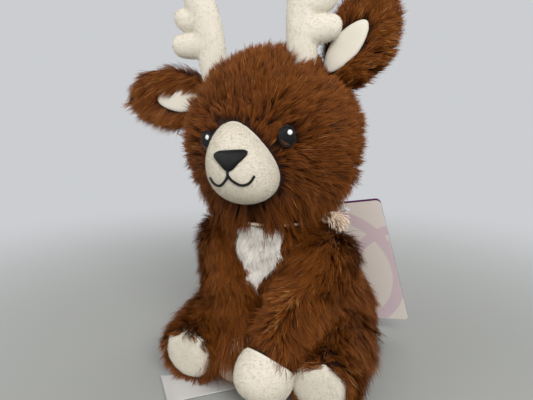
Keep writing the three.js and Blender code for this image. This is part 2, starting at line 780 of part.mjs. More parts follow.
function meshOf(shape, name, color, roughness) {
  const { numProp, vertProperties, triVerts } = shape.getMesh();
  const geometry = new THREE.BufferGeometry();
  const points = new Float32Array((vertProperties.length / numProp) * 3);
  for (let i = 0; i < points.length; i += 1) {
    points[i] = vertProperties[Math.floor(i / 3) * numProp + (i % 3)];
  }
  geometry.setAttribute('position', new THREE.BufferAttribute(points, 3));
  geometry.setIndex(new THREE.BufferAttribute(new Uint32Array(triVerts), 1));
  geometry.computeVertexNormals();
  const mesh = new THREE.Mesh(geometry, new THREE.MeshStandardMaterial({ color, roughness, metalness: 0 }));
  mesh.name = name;
  return mesh;
}

const sides = ['left', 'right'];
const arms = { left: makeArm('left'), right: makeArm('right') };
const deer = new THREE.Group();
const head = new THREE.Group();
head.position.set(...headPlace);
head.rotation.set(0, radians(-headRollDegrees), radians(headTurnDegrees), 'ZYX');
deer.add(head);

const legs = { left: makeLeg('left'), right: makeLeg('right') };
const ears = { left: makeEar('left'), right: makeEar('right') };
const antlers = { left: makeAntler('left'), right: makeAntler('right') };
const eyes = { left: makeEye('left'), right: makeEye('right') };
const tail = makeTail();

// Each cover and its filling gives room to what is sewn into it.
let headRoom = solid(new THREE.CylinderGeometry(neckOpening, neckOpening, headRadius, 24));
headRoom = moved(turned(headRoom, [0, 0, 0], [1, 0, 0], 90), [0, 0, -headRadius]);
let headCover = headForm(0, 36).subtract(headForm(-coverWall, 20)).subtract(headRoom);
let headFilling = headForm(-coverWall - fillingGap, 20);
for (const part of sides.flatMap((side) => [ears[side], antlers[side]])) {
  headCover = headCover.subtract(part.room);
  headFilling = headFilling.subtract(part.core);
}

const neckCup = moved(clearingBall(headRadius + seamGap, 32), headPlace);
const threadHeight = headPlace[2] - Math.sqrt((headRadius + seamGap + threadRadius) ** 2 - threadRing ** 2);
const threadRoom = neckRing(threadRing, threadRadius + seamGap, threadHeight, 4, 30, headPlace);
const cordRoom = makeCord(seamGap);
let bodyCover = bodyForm(0, 32, 16).subtract(bodyForm(-coverWall, 16, 10));
let innards = bodyForm(-coverWall - fillingGap, 16, 10).subtract(neckCup);
let bib = makeBib().subtract(cordRoom);
for (const room of [neckCup, threadRoom, cordRoom, makeString(seamGap), tail.room]) {
  bodyCover = bodyCover.subtract(room);
}
for (const side of sides) {
  bodyCover = bodyCover.subtract(arms[side].core).subtract(legs[side].room);
  bib = bib.subtract(arms[side].core);
  innards = innards.subtract(arms[side].core).subtract(legs[side].core);
}
innards = innards.subtract(tail.core);
const pouch = innards.intersect(slab(-overrun, pouchHeight));
const bodyFilling = innards.intersect(slab(pouchHeight + seamGap, bodyHeight + overrun));

const muzzleSides = 44; // of the ball that cuts the muzzle's seat
let muzzle = muzzleForm(0).subtract(headForm(seamGap, muzzleSides));
for (const side of sides) muzzle = muzzle.subtract(eyes[side].room);

head.add(
  meshOf(headCover, 'head_cover', brown, 0.95),
  meshOf(headFilling, 'head_filling', 0xf4f4f0, 1),
  meshOf(muzzle, 'muzzle', cream, 0.95),
  meshOf(makeNose(), 'nose_embroidery', black, 0.5),
  meshOf(makeMouth(), 'mouth_embroidery', black, 0.5),
);
for (const side of sides) {
  head.add(
    meshOf(eyes[side].oval, `eye_${side}`, black, 0.45),
    meshOf(eyes[side].glint, `eye_glint_${side}`, 0xf8f8f6, 0.5),
    meshOf(ears[side].outer, `ear_${side}`, brown, 0.95),
    meshOf(ears[side].lining, `ear_lining_${side}`, cream, 0.95),
    meshOf(antlers[side].form, `antler_${side}`, cream, 0.95),
  );
}

deer.add(
  meshOf(bodyCover, 'body_cover', brown, 0.95),
  meshOf(bodyFilling, 'body_filling', 0xf4f4f0, 1),
  meshOf(pouch, 'pellet_pouch', 0xd9d2c0, 0.9),
  meshOf(bib, 'chest_bib', 0xe2ddd2, 0.95),
  meshOf(tail.form, 'tail', brown, 0.95),
  meshOf(neckRing(threadRing, threadRadius, threadHeight, 4, 30, headPlace), 'neck_thread', brown, 0.8),
  meshOf(makeCord(0), 'neck_cord', 0xe8d3ab, 0.8),
  meshOf(makeTassel(), 'cord_tassel', 0xe8d3ab, 0.85),
  meshOf(makeLeaf(0, 0), 'hang_tag_front', 0xe9e2da, 0.5),
  meshOf(makeLeaf(tagLeaf + seamGap, tagBackRise), 'hang_tag_back', 0x5a2452, 0.5),
  meshOf(makeString(0), 'tag_string', 0xf0ece0, 0.7),
  meshOf(makeLabel(), 'care_label', 0xd8d6d2, 0.6),
);
for (const side of sides) {
  const cut = (shape) => shape.subtract(arms[side].room).subtract(legs[side].pressed);
  deer.add(
    meshOf(arms[side].cover, `arm_${side}`, brown, 0.95),
    meshOf(arms[side].filling, `arm_filling_${side}`, 0xf4f4f0, 1),
    meshOf(arms[side].paw, `paw_${side}`, cream, 0.95),
    meshOf(cut(legs[side].cover), `leg_${side}`, brown, 0.95),
    meshOf(cut(legs[side].filling), `leg_filling_${side}`, 0xf4f4f0, 1),
    meshOf(cut(legs[side].sole), `sole_${side}`, cream, 0.95),
  );
}

export default deer;
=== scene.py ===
import functools
import json
import math

import bpy
import numpy as np
from bpy.props import FloatProperty, FloatVectorProperty, PointerProperty
from mathutils import Matrix, Vector


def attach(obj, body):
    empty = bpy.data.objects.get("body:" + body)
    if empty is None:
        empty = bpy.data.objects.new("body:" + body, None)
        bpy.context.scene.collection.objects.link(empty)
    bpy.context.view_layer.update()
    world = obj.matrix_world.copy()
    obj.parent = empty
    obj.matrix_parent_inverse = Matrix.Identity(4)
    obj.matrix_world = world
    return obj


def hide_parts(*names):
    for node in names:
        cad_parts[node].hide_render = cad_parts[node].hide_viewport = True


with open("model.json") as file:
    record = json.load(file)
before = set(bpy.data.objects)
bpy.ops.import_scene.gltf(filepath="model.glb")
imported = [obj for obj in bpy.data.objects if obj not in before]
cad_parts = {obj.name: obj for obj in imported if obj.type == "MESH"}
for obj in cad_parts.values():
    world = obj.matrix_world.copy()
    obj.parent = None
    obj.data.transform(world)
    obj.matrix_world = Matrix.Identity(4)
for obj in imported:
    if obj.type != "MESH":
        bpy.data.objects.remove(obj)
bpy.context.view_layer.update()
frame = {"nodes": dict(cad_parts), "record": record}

bl_info = {
    "name": "Plush Deer",
    "version": (1, 0, 0),
    "blender": (4, 5, 0),
    "location": "View3D > Sidebar > Deer",
    "description": "Makes a seated plush deer with long pile on its frame",
    "category": "Add Mesh",
}

MM = 0.001
JOINTS = {joint["name"]: joint for joint in frame["record"]["behaviour"]["joints"]}
SIDES = ("left", "right")
ACROSS = {"left": 1, "right": -1}
FLOOR_CLEARANCE = 0.4 * MM
PILE_DEPTH = 6 * MM
BACKING_DEPTH = 6.5 * MM


def tone(red, green, blue):
    """A colour written as 0 to 255 on a screen, as the linear colour that a shader takes."""
    share = np.array([red, green, blue]) / 255
    linear = np.where(share <= 0.04045, share / 12.92, ((share + 0.055) / 1.055) ** 2.4)
    return tuple(float(value) for value in linear)


def unit(vectors):
    """Vectors divided by their own lengths."""
    vectors = np.asarray(vectors, float)
    return vectors / np.maximum(np.linalg.norm(vectors, axis=-1, keepdims=True), 1e-12)


def dot(a, b):
    """The product of each pair of vectors, kept as a column."""
    return np.sum(a * b, axis=-1, keepdims=True)


def along_skin(vectors, normals):
    """Vectors without the part of them that runs along the normals."""
    return vectors - dot(vectors, normals) * normals


def distance(points, place):
    return np.linalg.norm(points - place, axis=-1)


def full_turn(count):
    """Evenly spaced angles once round."""
    return np.arange(count) * 2 * math.pi / count


def anywhere(points, *_):
    """Keeps or clears every place."""
    return np.ones(len(points), bool)


def blend_between(value, low, high):
    """Nought below one value, one above another, and smooth between them."""
    share = np.clip((value - low) / (high - low), 0, 1)
    return share * share * (3 - 2 * share)


def joint_place(name):
    return np.array(JOINTS[name]["pos_m"], float)


def joint_axis(name):
    return unit(JOINTS[name]["axis"])


# Places and sizes that the solids have, in metres

HEAD_MIDDLE = joint_place("head_nod")
HEAD_SIDEWAYS = -joint_axis("head_nod")
HEAD_BACKWARD = joint_axis("ear_left_flap")
HEAD_TURN = np.stack([HEAD_SIDEWAYS, HEAD_BACKWARD, np.cross(HEAD_SIDEWAYS, HEAD_BACKWARD)], axis=1)
HEAD_RADIUS = 71 * MM
DOWN = np.array([0, 0, -1.0])

BODY_HEIGHT, BODY_SIDE, BODY_FRONT, BODY_BACK = 131 * MM, 80 * MM, 43 * MM, 60 * MM
SEAT_PLACE = np.array([3, 6]) * MM
NECK_PLACE = np.array([-4, -3]) * MM
BODY_ROWS = np.array([
    [0, 0, 0, 0], [0, 0.45, 0.4, 0.42], [0.004, 0.78, 0.74, 0.76], [0.1, 0.94, 0.92, 0.93], [0.26, 1, 1, 1],
    [0.42, 0.975, 1, 1], [0.57, 0.88, 0.98, 0.93], [0.71, 0.77, 0.96, 0.84], [0.83, 0.67, 0.97, 0.77],
    [0.92, 0.58, 0.97, 0.73], [0.975, 0.44, 0.82, 0.6], [1, 0.2, 0.4, 0.3], [1, 0, 0, 0],
])

MUZZLE_SIZE = np.array([25.5, 30, 30]) * MM
MUZZLE_PLACE = np.array([-6.3, -58, -13.5]) * MM
MUZZLE_NARROW, MUZZLE_ASIDE, MUZZLE_BACK = 0.22, -0.14, 0.1
NOSE_ASIDE, NOSE_TOP, MOUTH_ASIDE = -4.2 * MM, -3 * MM, -5.5 * MM
NOSE_ROWS = ((0, 0), (0.3, 0.01), (0.45, 0.08), (0.5, 0.22), (0.44, 0.4), (0.28, 0.66), (0.12, 0.92), (0, 1))
MOUTH_ROWS = np.array([[0, 0.24], [0.07, 0.6], [0.24, 1], [0.4, 0.88], [0.5, 0.42]])
EYE_ASIDE, EYE_UP = math.radians(25), math.radians(2.5)
EYE_STITCHED, EYE_RIM = 0.9, 0.93
CRESCENT_FROM, CRESCENT_TO, CRESCENT_SHARES = math.radians(196), math.radians(292), (0.78, 0.7, 0.62)
GLINT_HIGH, GLINT_WIDE = 1.7 * MM, 1.3 * MM

EAR_LENGTH = {"left": 67 * MM, "right": 74 * MM}
EAR_HALF_WIDTH, EAR_HALF_THICKNESS, EAR_CUP = 21 * MM, 6.5 * MM, 4 * MM
EAR_RAISED = {"left": math.radians(55), "right": math.radians(6)}
LINING_LENGTH, LINING_WIDTH, LINING_START = 46 * MM, 21 * MM, 2 * MM
LINING_MIDDLE = LINING_START + 0.5 * LINING_LENGTH
LINING_ASIDE = {"left": -6 * MM, "right": 4.5 * MM}
LINING_LEAN = {"left": 0.15, "right": 0.0}
BARE_MIDDLE, BARE_HALF = np.array([[17, 7.5], [17, 6.5]]) * MM
EAR_ROWS = np.array([
    [-0.17, 0, 0], [-0.14, 0.36, 0.6], [0.02, 0.58, 0.95], [0.2, 0.84, 1], [0.42, 1, 1], [0.64, 0.92, 0.95],
    [0.83, 0.66, 0.8], [0.96, 0.3, 0.5], [1, 0, 0],
])

ANTLER_HEIGHT, ANTLER_LEAN, ANTLER_RADIUS, ANTLER_FLAT = 79 * MM, 15 * MM, 12 * MM, 0.76
ANTLER_VOXEL, ANTLER_SMOOTHING = 0.9 * MM, 24
TINE_RADIUS, TINE_REACH = 9.2 * MM, 31 * MM
STEM_ROWS = np.array([
    [-0.12, 0, 0], [-0.09, 0.62, 0], [0, 0.92, 0], [0.25, 1, 0.06], [0.5, 1.02, 0.2], [0.72, 1.06, 0.5],
    [0.88, 0.92, 0.82], [0.97, 0.55, 1], [1, 0, 1.02],
])
TINES = {"left": ((0.22, 1, 0.1), (0.46, 0.96, 0.16)), "right": ((0.29, 1.14, 0.1), (0.52, 1, 0.16))}

SHOULDER = {side: joint_place(f"arm_{side}_lift") for side in SIDES}
PAW_PLACE = {"left": np.array([21, -88, 28]) * MM, "right": np.array([-15.8, -54, 33.3]) * MM}
ARM_HEADING = {side: unit(PAW_PLACE[side] - SHOULDER[side]) for side in SIDES}
ARM_ROOT, ARM_WRIST, ARM_LENGTH = 23 * MM, 19.5 * MM, 86 * MM
PAW_RADIUS, PAW_LENGTH = 20.5 * MM, 30 * MM
PAW_ROWS = ((0.93, 0), (1, 0.24), (0.97, 0.5), (0.8, 0.78), (0.45, 0.96), (0, 1))

PART_FROM, PART_TO, WHIRL_PLACE = np.array([[36.9, -64.4, 87.0], [24.8, -83.7, 63.3], [54.3, -60.7, 61.6]]) * MM
# The last reach is that of the painted glint along the left arm's parting.
PART_REACH, PART_CORE, WHIRL_REACH, WHIRL_CORE, PAINTED_SPARKLE_REACH = 24 * MM, 7 * MM, 16 * MM, 14 * MM, 3.5 * MM

HIP = {side: joint_place(f"leg_{side}_splay") for side in SIDES}
FOOT_HEADING = {"left": unit([0.13, -0.986, -0.092]), "right": unit([-0.05, -0.992, -0.092])}
LEG_ROOT, LEG_ANKLE, LEG_LENGTH = 30 * MM, 25 * MM, 57 * MM
SOLE_SIZE = np.array([40, 40]) * MM
SOLE_ASIDE = {"left": -2.5 * MM, "right": -0.5 * MM}
SOLE_DROP = {"left": 4.5 * MM, "right": 1.5 * MM}
SOLE_THICK, SOLE_SUNK = 7.5 * MM, 3 * MM
SOLE_ROWS = ((0, 0), (0.9, 0), (1.02, 0.1), (1, 0.3), (0.9, 0.62), (0.68, 0.88), (0.36, 0.98), (0, 1))

BIB_TOP, BIB_LENGTH, BIB_WIDTH = 124 * MM, 54 * MM, 39 * MM
BIB_FOOT = BIB_TOP - BIB_LENGTH
BIB_ASIDE, BIB_LEAN = 1 * MM, 0.11
BIB_ROWS = np.array([[0, 0], [0.1, 0.08], [0.22, 0.24], [0.34, 0.42], [0.47, 0.6], [0.5, 0.84], [0.42, 1]])

TAIL_ROOT = joint_place("tail_wag")
TAIL_HEADING = np.array([0, math.cos(math.radians(35)), math.sin(math.radians(35))])
TAIL_RADIUS, TAIL_LENGTH = 13 * MM, 34 * MM

CORD_RING, CORD_HEIGHT = 44 * MM, 124.6 * MM
KNOT_PLACE = joint_place("tassel_lift")
KNOT_ANGLE, KNOT_SCALE = math.radians(-6), 1.8 * MM
YARN_COUNT, YARN_REACH, YARN_RADIUS, YARN_DROOP = 110, (9.5, 15), 0.42 * MM, 4.5 * MM

TAG_HOLE = joint_place("tag_swing")
TAG_TURN = (
    Matrix.Rotation(math.radians(-4.7), 3, "Z")
    @ Matrix.Rotation(math.radians(15), 3, "X")
    @ Matrix.Rotation(math.radians(-11.5), 3, "Y")
)
TAG_BANDS = (((-30, 0, -64), 62, 5.5), ((52, 0, -96), 76, 4.5))

LABEL_SIZE = np.array([78, 36]) * MM
LABEL_END = np.array([-59.6, -98]) * MM
LABEL_TURN = math.radians(43.8)
LABEL_HEIGHT, LABEL_THICK, LABEL_WAVE, LABEL_CURL = 0.55 * MM, 0.22 * MM, 0.12 * MM, 1.6 * MM


# Forms, each a surface of an angle u round it and a share v from its root or foot to its tip

def smooth_rows(rows, share):
    """The smooth curve through equally spaced rows: a cubic between each two, with slopes from their neighbours."""
    rows = np.asarray(rows, float)
    last = len(rows) - 1
    at = np.clip(share, 0, 1) * last
    start = np.minimum(at.astype(int), last - 1)
    part = (at - start)[..., None]
    before, here = rows[np.maximum(start - 1, 0)], rows[start]
    after, beyond = rows[start + 1], rows[np.minimum(start + 2, last)]
    return here + 0.5 * part * (
        (after - before)
        + part * ((2 * before - 5 * here + 4 * after - beyond) + part * (3 * (here - after) + beyond - before))
    )


def head_world(points):
    """Points in the head's own frame, carried to where the head is."""
    return HEAD_MIDDLE + points @ HEAD_TURN.T


def head_local(points):
    return (points - HEAD_MIDDLE) @ HEAD_TURN


def head_form(u, v, extra):
    """A ball whose crown narrows with the square of height, and whose brow is pressed back a little."""
    ring, high = np.sin(math.pi * v), -np.cos(math.pi * v)
    across, over = ring * np.cos(u), ring * np.sin(u)
    crown = 1 - 0.05 * np.maximum(0, high) ** 2
    brow = 1 - 0.03 * np.maximum(0, -over) * np.maximum(0, high)
    size = HEAD_RADIUS + extra
    return head_world(np.stack([size * across * crown, size * over * brow, size * high], axis=-1))


def muzzle_form(u, v, extra):
    """A ball with three radii that narrows as it rises, and leans across and back in step with the rise."""
    ring, high = np.sin(math.pi * v), -np.cos(math.pi * v)
    size = MUZZLE_SIZE + extra
    rise = size[2] * high
    across = size[0] * (1 - MUZZLE_NARROW * high) * ring * np.cos(u) + MUZZLE_ASIDE * rise
    ball = np.stack([across, size[1] * ring * np.sin(u) + MUZZLE_BACK * rise, rise], axis=-1)
    return head_world(ball + MUZZLE_PLACE)


def muzzle_share(points):
    """How far points lie from the middle of the muzzle, where 1 is on its surface."""
    away = head_local(points) - MUZZLE_PLACE
    rise = away[..., 2]
    high = rise / MUZZLE_SIZE[2]
    across = (away[..., 0] - MUZZLE_ASIDE * rise) / (MUZZLE_SIZE[0] * (1 - MUZZLE_NARROW * np.clip(high, -1, 1)))
    over = (away[..., 1] - MUZZLE_BACK * rise) / MUZZLE_SIZE[1]
    return np.sqrt(across**2 + over**2 + high**2)


def on_muzzle(across, high, lift):
    """Points on the muzzle's front at places across and up, lifted off it, in the world."""
    rise = high - MUZZLE_PLACE[2]
    up = rise / MUZZLE_SIZE[2]
    side = (across - MUZZLE_PLACE[0] - MUZZLE_ASIDE * rise) / (MUZZLE_SIZE[0] * (1 - MUZZLE_NARROW * up))
    bulge = MUZZLE_SIZE[1] * np.sqrt(np.maximum(1 - up**2 - side**2, 0.01))
    front = MUZZLE_PLACE[1] + MUZZLE_BACK * rise - bulge - lift
    return head_world(np.stack([across, front, high], axis=-1))


def eye_frame(side):
    """The direction that an eye looks, and its own across and up directions, in the head's frame."""
    aside = EYE_ASIDE * ACROSS[side]
    out = np.array([math.sin(aside) * math.cos(EYE_UP), -math.cos(aside) * math.cos(EYE_UP), math.sin(EYE_UP)])
    across = np.array([math.cos(aside), math.sin(aside), 0])
    return out, across, np.cross(out, across)


def on_eye(side, across, high, lift):
    """Points on the head at places across and up from an eye's middle, lifted off it, in the world."""
    out, sideways, up = eye_frame(side)
    deep = np.sqrt((HEAD_RADIUS + lift) ** 2 - across**2 - high**2)
    return head_world(across[..., None] * sideways + high[..., None] * up + deep[..., None] * out)


def eye_share(points, side, half_width, half_height):
    """How far points lie from an eye's middle, where 1 is on its outline and behind the head is far."""
    out, sideways, up = eye_frame(side)
    local = head_local(points)
    far = np.hypot(local @ sideways / half_width, local @ up / half_height)
    return np.where(local @ out > 0, far, 99.0)


def body_middle(rise):
    """The body's middle line, across and over, at shares of its height."""
    return [SEAT_PLACE[i] + (NECK_PLACE[i] - SEAT_PLACE[i]) * rise for i in (0, 1)]


def body_form(u, v, extra):
    """Ovals stacked from the seat to the neck, with their own reach to the side, the front and the back."""
    row = smooth_rows(BODY_ROWS, v)
    rise = np.clip(row[..., 0], 0, 1)
    grown = extra * np.minimum(1, row[..., 1] / 0.3)
    depth = np.where(np.sin(u) < 0, row[..., 2] * BODY_FRONT, row[..., 3] * BODY_BACK)
    across, over = body_middle(rise)
    return np.stack([
        across + np.cos(u) * (row[..., 1] * BODY_SIDE + grown),
        over + np.sin(u) * (depth + grown),
        -extra + rise * (BODY_HEIGHT + 2 * extra),
    ], axis=-1)


BODY_TABLE = smooth_rows(BODY_ROWS, np.linspace(0.08, 0.97, 300))


def body_level(high):
    """The body's middle and its reach to the side, the front and the back at each height."""
    rise = np.clip(high / BODY_HEIGHT, 0, 1)
    reach = [np.interp(rise, BODY_TABLE[:, 0], BODY_TABLE[:, i]) for i in (1, 2, 3)]
    return body_middle(rise), (reach[0] * BODY_SIDE, reach[1] * BODY_FRONT, reach[2] * BODY_BACK)


def body_share(points):
    """How far points lie from the body's middle line, where 1 is on its surface."""
    middle, (side, front, back) = body_level(points[..., 2])
    over = points[..., 1] - middle[1]
    far = np.hypot((points[..., 0] - middle[0]) / side, over / np.where(over < 0, front, back))
    return np.where(points[..., 2] > BODY_HEIGHT, 99.0, far)


def body_front(across, high, extra):
    """Points on the body's front at places across and up."""
    middle, (side, front, _) = body_level(high)
    share = np.clip((across - middle[0]) / (side + extra), -0.95, 0.95)
    return np.stack([across, middle[1] - (front + extra) * np.sqrt(1 - share**2), high], axis=-1)


def turn_to(heading):
    """The shortest turn that carries straight up to a heading, as three columns."""
    quaternion = Vector((0, 0, 1)).rotation_difference(Vector(heading))
    return np.array(quaternion.to_matrix())


def along_line(line, v):
    """Radius and place along a profile at shares of its own length."""
    line = np.asarray(line, float)
    steps = np.concatenate([[0], np.cumsum(np.linalg.norm(np.diff(line, axis=0), axis=1))])
    at = np.clip(v, 0, 1) * steps[-1]
    return np.interp(at, steps, line[:, 0]), np.interp(at, steps, line[:, 1])


def turned_form(start, heading, line, squeeze=(1, 1)):
    """A profile of radius and place along, turned about a heading from a start."""
    turn = turn_to(heading)

    def form(u, v, extra):
        radius, along = along_line(line, v)
        radius = np.maximum(radius + extra * np.minimum(1, radius / (4 * MM)), 0)
        ring = np.stack([radius * np.cos(u) * squeeze[0], radius * np.sin(u) * squeeze[1], along], axis=-1)
        return start + ring @ turn.T

    return form


def limb_line(root, end, length):
    """A limb's profile: a quarter of a ball at its root, then a smooth taper to its end."""
    angles = np.linspace(-math.pi / 2, 0, 14)
    ball = np.stack([root * np.cos(angles), root * np.sin(angles)], axis=1)
    swell = smooth_rows(
        [[root, 0], [root - (root - end) / 5, length / 3], [end + (root - end) / 4, 2 * length / 3], [end, length]],
        np.linspace(0, 1, 30),
    )
    return np.concatenate([ball[:-1], swell])


def rounded(rows, count=40):
    """A smooth profile through rows of radius and place along, whose radius is never less than nought."""
    line = smooth_rows(rows, np.linspace(0, 1, count))
    line[:, 0] = np.maximum(line[:, 0], 0)
    return line


def paw_line():
    """A paw's profile, from its seam at the wrist to its rounded end."""
    seam = [0.0, ARM_LENGTH + 0.3 * MM]
    return np.concatenate([[seam], rounded(PAW_ROWS) * [PAW_RADIUS + 0.8 * MM, PAW_LENGTH] + seam])


ARM_LINE = limb_line(ARM_ROOT, ARM_WRIST, ARM_LENGTH)
LEG_LINE = np.concatenate([limb_line(LEG_ROOT, LEG_ANKLE, LEG_LENGTH), [[0.3 * LEG_ANKLE, LEG_LENGTH]]])
ARM_FORM = {side: turned_form(SHOULDER[side], ARM_HEADING[side], ARM_LINE) for side in SIDES}
LEG_FORM = {side: turned_form(HIP[side], FOOT_HEADING[side], LEG_LINE) for side in SIDES}


def off_line(points, start, heading):
    """Points as seen from the nearest place on a limb's middle line."""
    return points - (start + ((points - start) @ heading)[:, None] * heading)


def limb_gap(points, start, heading, root, end, length):
    """How far points lie outside a limb, which tapers evenly from its root to its end."""
    away = points - start
    along = np.clip(away @ heading, 0, length)
    radius = root + (end - root) * along / length
    return np.linalg.norm(away - along[..., None] * heading, axis=-1) - radius


def arm_gap(points, side):
    return limb_gap(points, SHOULDER[side], ARM_HEADING[side], ARM_ROOT, ARM_WRIST, ARM_LENGTH + 8 * MM)


def leg_gap(points, side):
    return limb_gap(points, HIP[side], FOOT_HEADING[side], LEG_ROOT, LEG_ANKLE, LEG_LENGTH)


def off_head(points, slack):
    """Whether points lie outside the ball of the head, or less than a slack inside it."""
    return distance(points, HEAD_MIDDLE) > HEAD_RADIUS - slack


def tail_line():
    """The tail's profile: a ball at its root and a brush that narrows to a point."""
    brush = rounded([[1, 0], [0.95, 0.4], [0.6, 0.8], [0, 1]], 30)
    root = np.array([[0, -1], [0.5, -0.86], [0.86, -0.5]]) * TAIL_RADIUS
    return np.concatenate([root, brush * [TAIL_RADIUS, TAIL_LENGTH]])


TAIL_FORM = turned_form(TAIL_ROOT, TAIL_HEADING, tail_line())


def ear_place(side, points):
    """Points in an ear's own frame, leaned outward, set on the head, and mirrored for the right."""
    lean = math.pi / 2 - EAR_RAISED[side]
    across, over, up = points[..., 0], points[..., 1], points[..., 2]
    outer = across * math.cos(lean) + up * math.sin(lean)
    leaned = np.stack([ACROSS[side] * outer, over, up * math.cos(lean) - across * math.sin(lean)], axis=-1)
    return joint_place(f"ear_{side}_flap") + leaned @ HEAD_TURN.T


def ear_form(side):
    """Flat ovals from the root to the tip, whose rims bend forward with the square of the place across."""

    def form(u, v, extra):
        u = ACROSS[side] * u
        row = smooth_rows(EAR_ROWS, v)
        wide, thick = np.maximum(row[..., 1], 0), np.maximum(row[..., 2], 0)
        grown = extra * np.minimum(1, wide / 0.3)
        across, over = np.cos(u), np.sin(u)
        local = np.stack([
            across * np.maximum(wide * EAR_HALF_WIDTH + grown, 0),
            over * np.maximum(thick * EAR_HALF_THICKNESS + grown, 0) - EAR_CUP * (wide * across) ** 2,
            row[..., 0] * EAR_LENGTH[side],
        ], axis=-1)
        return ear_place(side, local)

    return form


EAR_FORM = {side: ear_form(side) for side in SIDES}


# Meshes

def finish_piece(name, mesh, body, material):
    """A finished mesh as an object at the origin that rides on a body."""
    piece = bpy.data.objects.new(name, mesh)
    bpy.context.scene.collection.objects.link(piece)
    mesh.materials.append(material)
    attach(piece, body)
    return piece


def mesh_of(name, points, faces):
    """A smooth mesh from an array of points and a list of faces."""
    mesh = bpy.data.meshes.new(name)
    mesh.from_pydata(np.asarray(points).tolist(), [], faces)
    mesh.polygons.foreach_set("use_smooth", np.ones(len(mesh.polygons), bool))
    mesh.update()
    return mesh


def grid_faces(rows, columns, wrapped, offset=0):
    """Four-cornered faces between the points of a grid, whose columns may close on themselves."""
    row, column = np.meshgrid(np.arange(rows - 1), np.arange(columns if wrapped else columns - 1), indexing="ij")
    beside = (column + 1) % columns
    below, above = row * columns, (row + 1) * columns
    corners = [below + column, below + beside, above + beside, above + column]
    return (np.stack(corners, axis=-1).reshape(-1, 4) + offset).tolist()


def closed_grid(rings, offset=0):
    """Points and faces of rings joined into one skin, with a point in the middle of the first and the last."""
    rows, columns = rings.shape[:2]
    points = np.concatenate([rings.reshape(-1, 3), [rings[0].mean(axis=0)], [rings[-1].mean(axis=0)]])
    column = np.arange(columns)
    beside = (column + 1) % columns
    first, last = rows * columns, rows * columns + 1
    low = np.stack([np.full(columns, first), beside, column], axis=1)
    high = np.stack([np.full(columns, last), (rows - 1) * columns + column, (rows - 1) * columns + beside], axis=1)
    faces = grid_faces(rows, columns, True, offset)
    return points, faces + (low + offset).tolist() + (high + offset).tolist()


def skin_of(form, extra, around, along, low=0.004, high=0.996):
    """A form's surface as rings of points, from its root or foot to its tip."""
    v, u = np.meshgrid(np.linspace(low, high, along), full_turn(around), indexing="ij")
    return form(u, v, extra)


def joined(parts):
    """Several closed grids as one list of points and one of faces."""
    points, faces, offset = [], [], 0
    for rings in parts:
        some_points, some_faces = closed_grid(rings, offset)
        points.append(some_points)
        faces.extend(some_faces)
        offset += len(some_points)
    return np.concatenate(points), faces


def across_path(path, out):
    """A path's points, and two directions across it at each, the first nearest to an outward direction."""
    path = np.asarray(path, float)
    ahead = unit(np.gradient(path, axis=0))
    normal = unit(along_skin(np.broadcast_to(out, path.shape), ahead))
    return path, normal, np.cross(ahead, normal)


def tube_rings(path, out, radius, sides):
    """Rings round a path: at each point, a circle across the path's direction, from an outward direction."""
    path, normal, side = across_path(path, out)
    angle = full_turn(sides)
    reach = np.broadcast_to(radius, (len(path),))[:, None, None]
    circle = np.cos(angle)[None, :, None] * normal[:, None] + np.sin(angle)[None, :, None] * side[:, None]
    return path[:, None] + reach * circle


def ply_paths(path, out, plies, offset, turns):
    """The paths of a rope's plies: each winds round the rope's own path at an offset."""
    path, normal, side = across_path(path, out)
    wind = np.linspace(0, 2 * math.pi * turns, len(path))[:, None]
    return [
        path + offset * (np.cos(wind + start) * normal + np.sin(wind + start) * side)
        for start in full_turn(plies)
    ]


def tube_piece(name, body, material, parts, replaced=None):
    """Closed grids as one piece, which may stand for a solid."""
    piece = finish_piece(name, mesh_of(name, *joined(parts)), body, material)
    if replaced:
        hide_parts(replaced)


def smooth_path(places, count):
    """A smooth line of evenly shared points through a few places."""
    return smooth_rows(places, np.linspace(0, 1, count))


# Pile

TUFT_SPREAD = 1.7 * MM
BIB_PILE, TAIL_PILE, FLAT_RISE = 9 * MM, 13 * MM, 0.42
STRAND_DROOP = np.array([0, 0, -0.06])
# Share and shade of the strands that get a painted glint.
PAINTED_SPARKLE_SHARE, PAINTED_SPARKLE_SHADE = 0.008, 0.99


def waves(points, length, seed):
    """Three slow waves over space, each the mean of six sine waves with their own directions."""
    rng = np.random.default_rng(seed)
    directions = unit(rng.normal(size=(3, 6, 3))) * 2 * math.pi / length * rng.uniform(0.7, 1.4, (3, 6, 1))
    phases = rng.uniform(0, 2 * math.pi, (3, 6))
    return np.sin(np.einsum("pk,awk->paw", points, directions) + phases).mean(axis=2) * 1.8


def surface_at(form, u, v, extra):
    """Points on a form and the directions out of it, from small steps along its two ways."""
    step = 1e-3
    low, high = np.maximum(v - step, 0), np.minimum(v + step, 1)
    ahead = form(u + step, v, extra) - form(u - step, v, extra)
    upward = form(u, high, extra) - form(u, low, extra)
    return form(u, v, extra), unit(np.cross(ahead, upward))


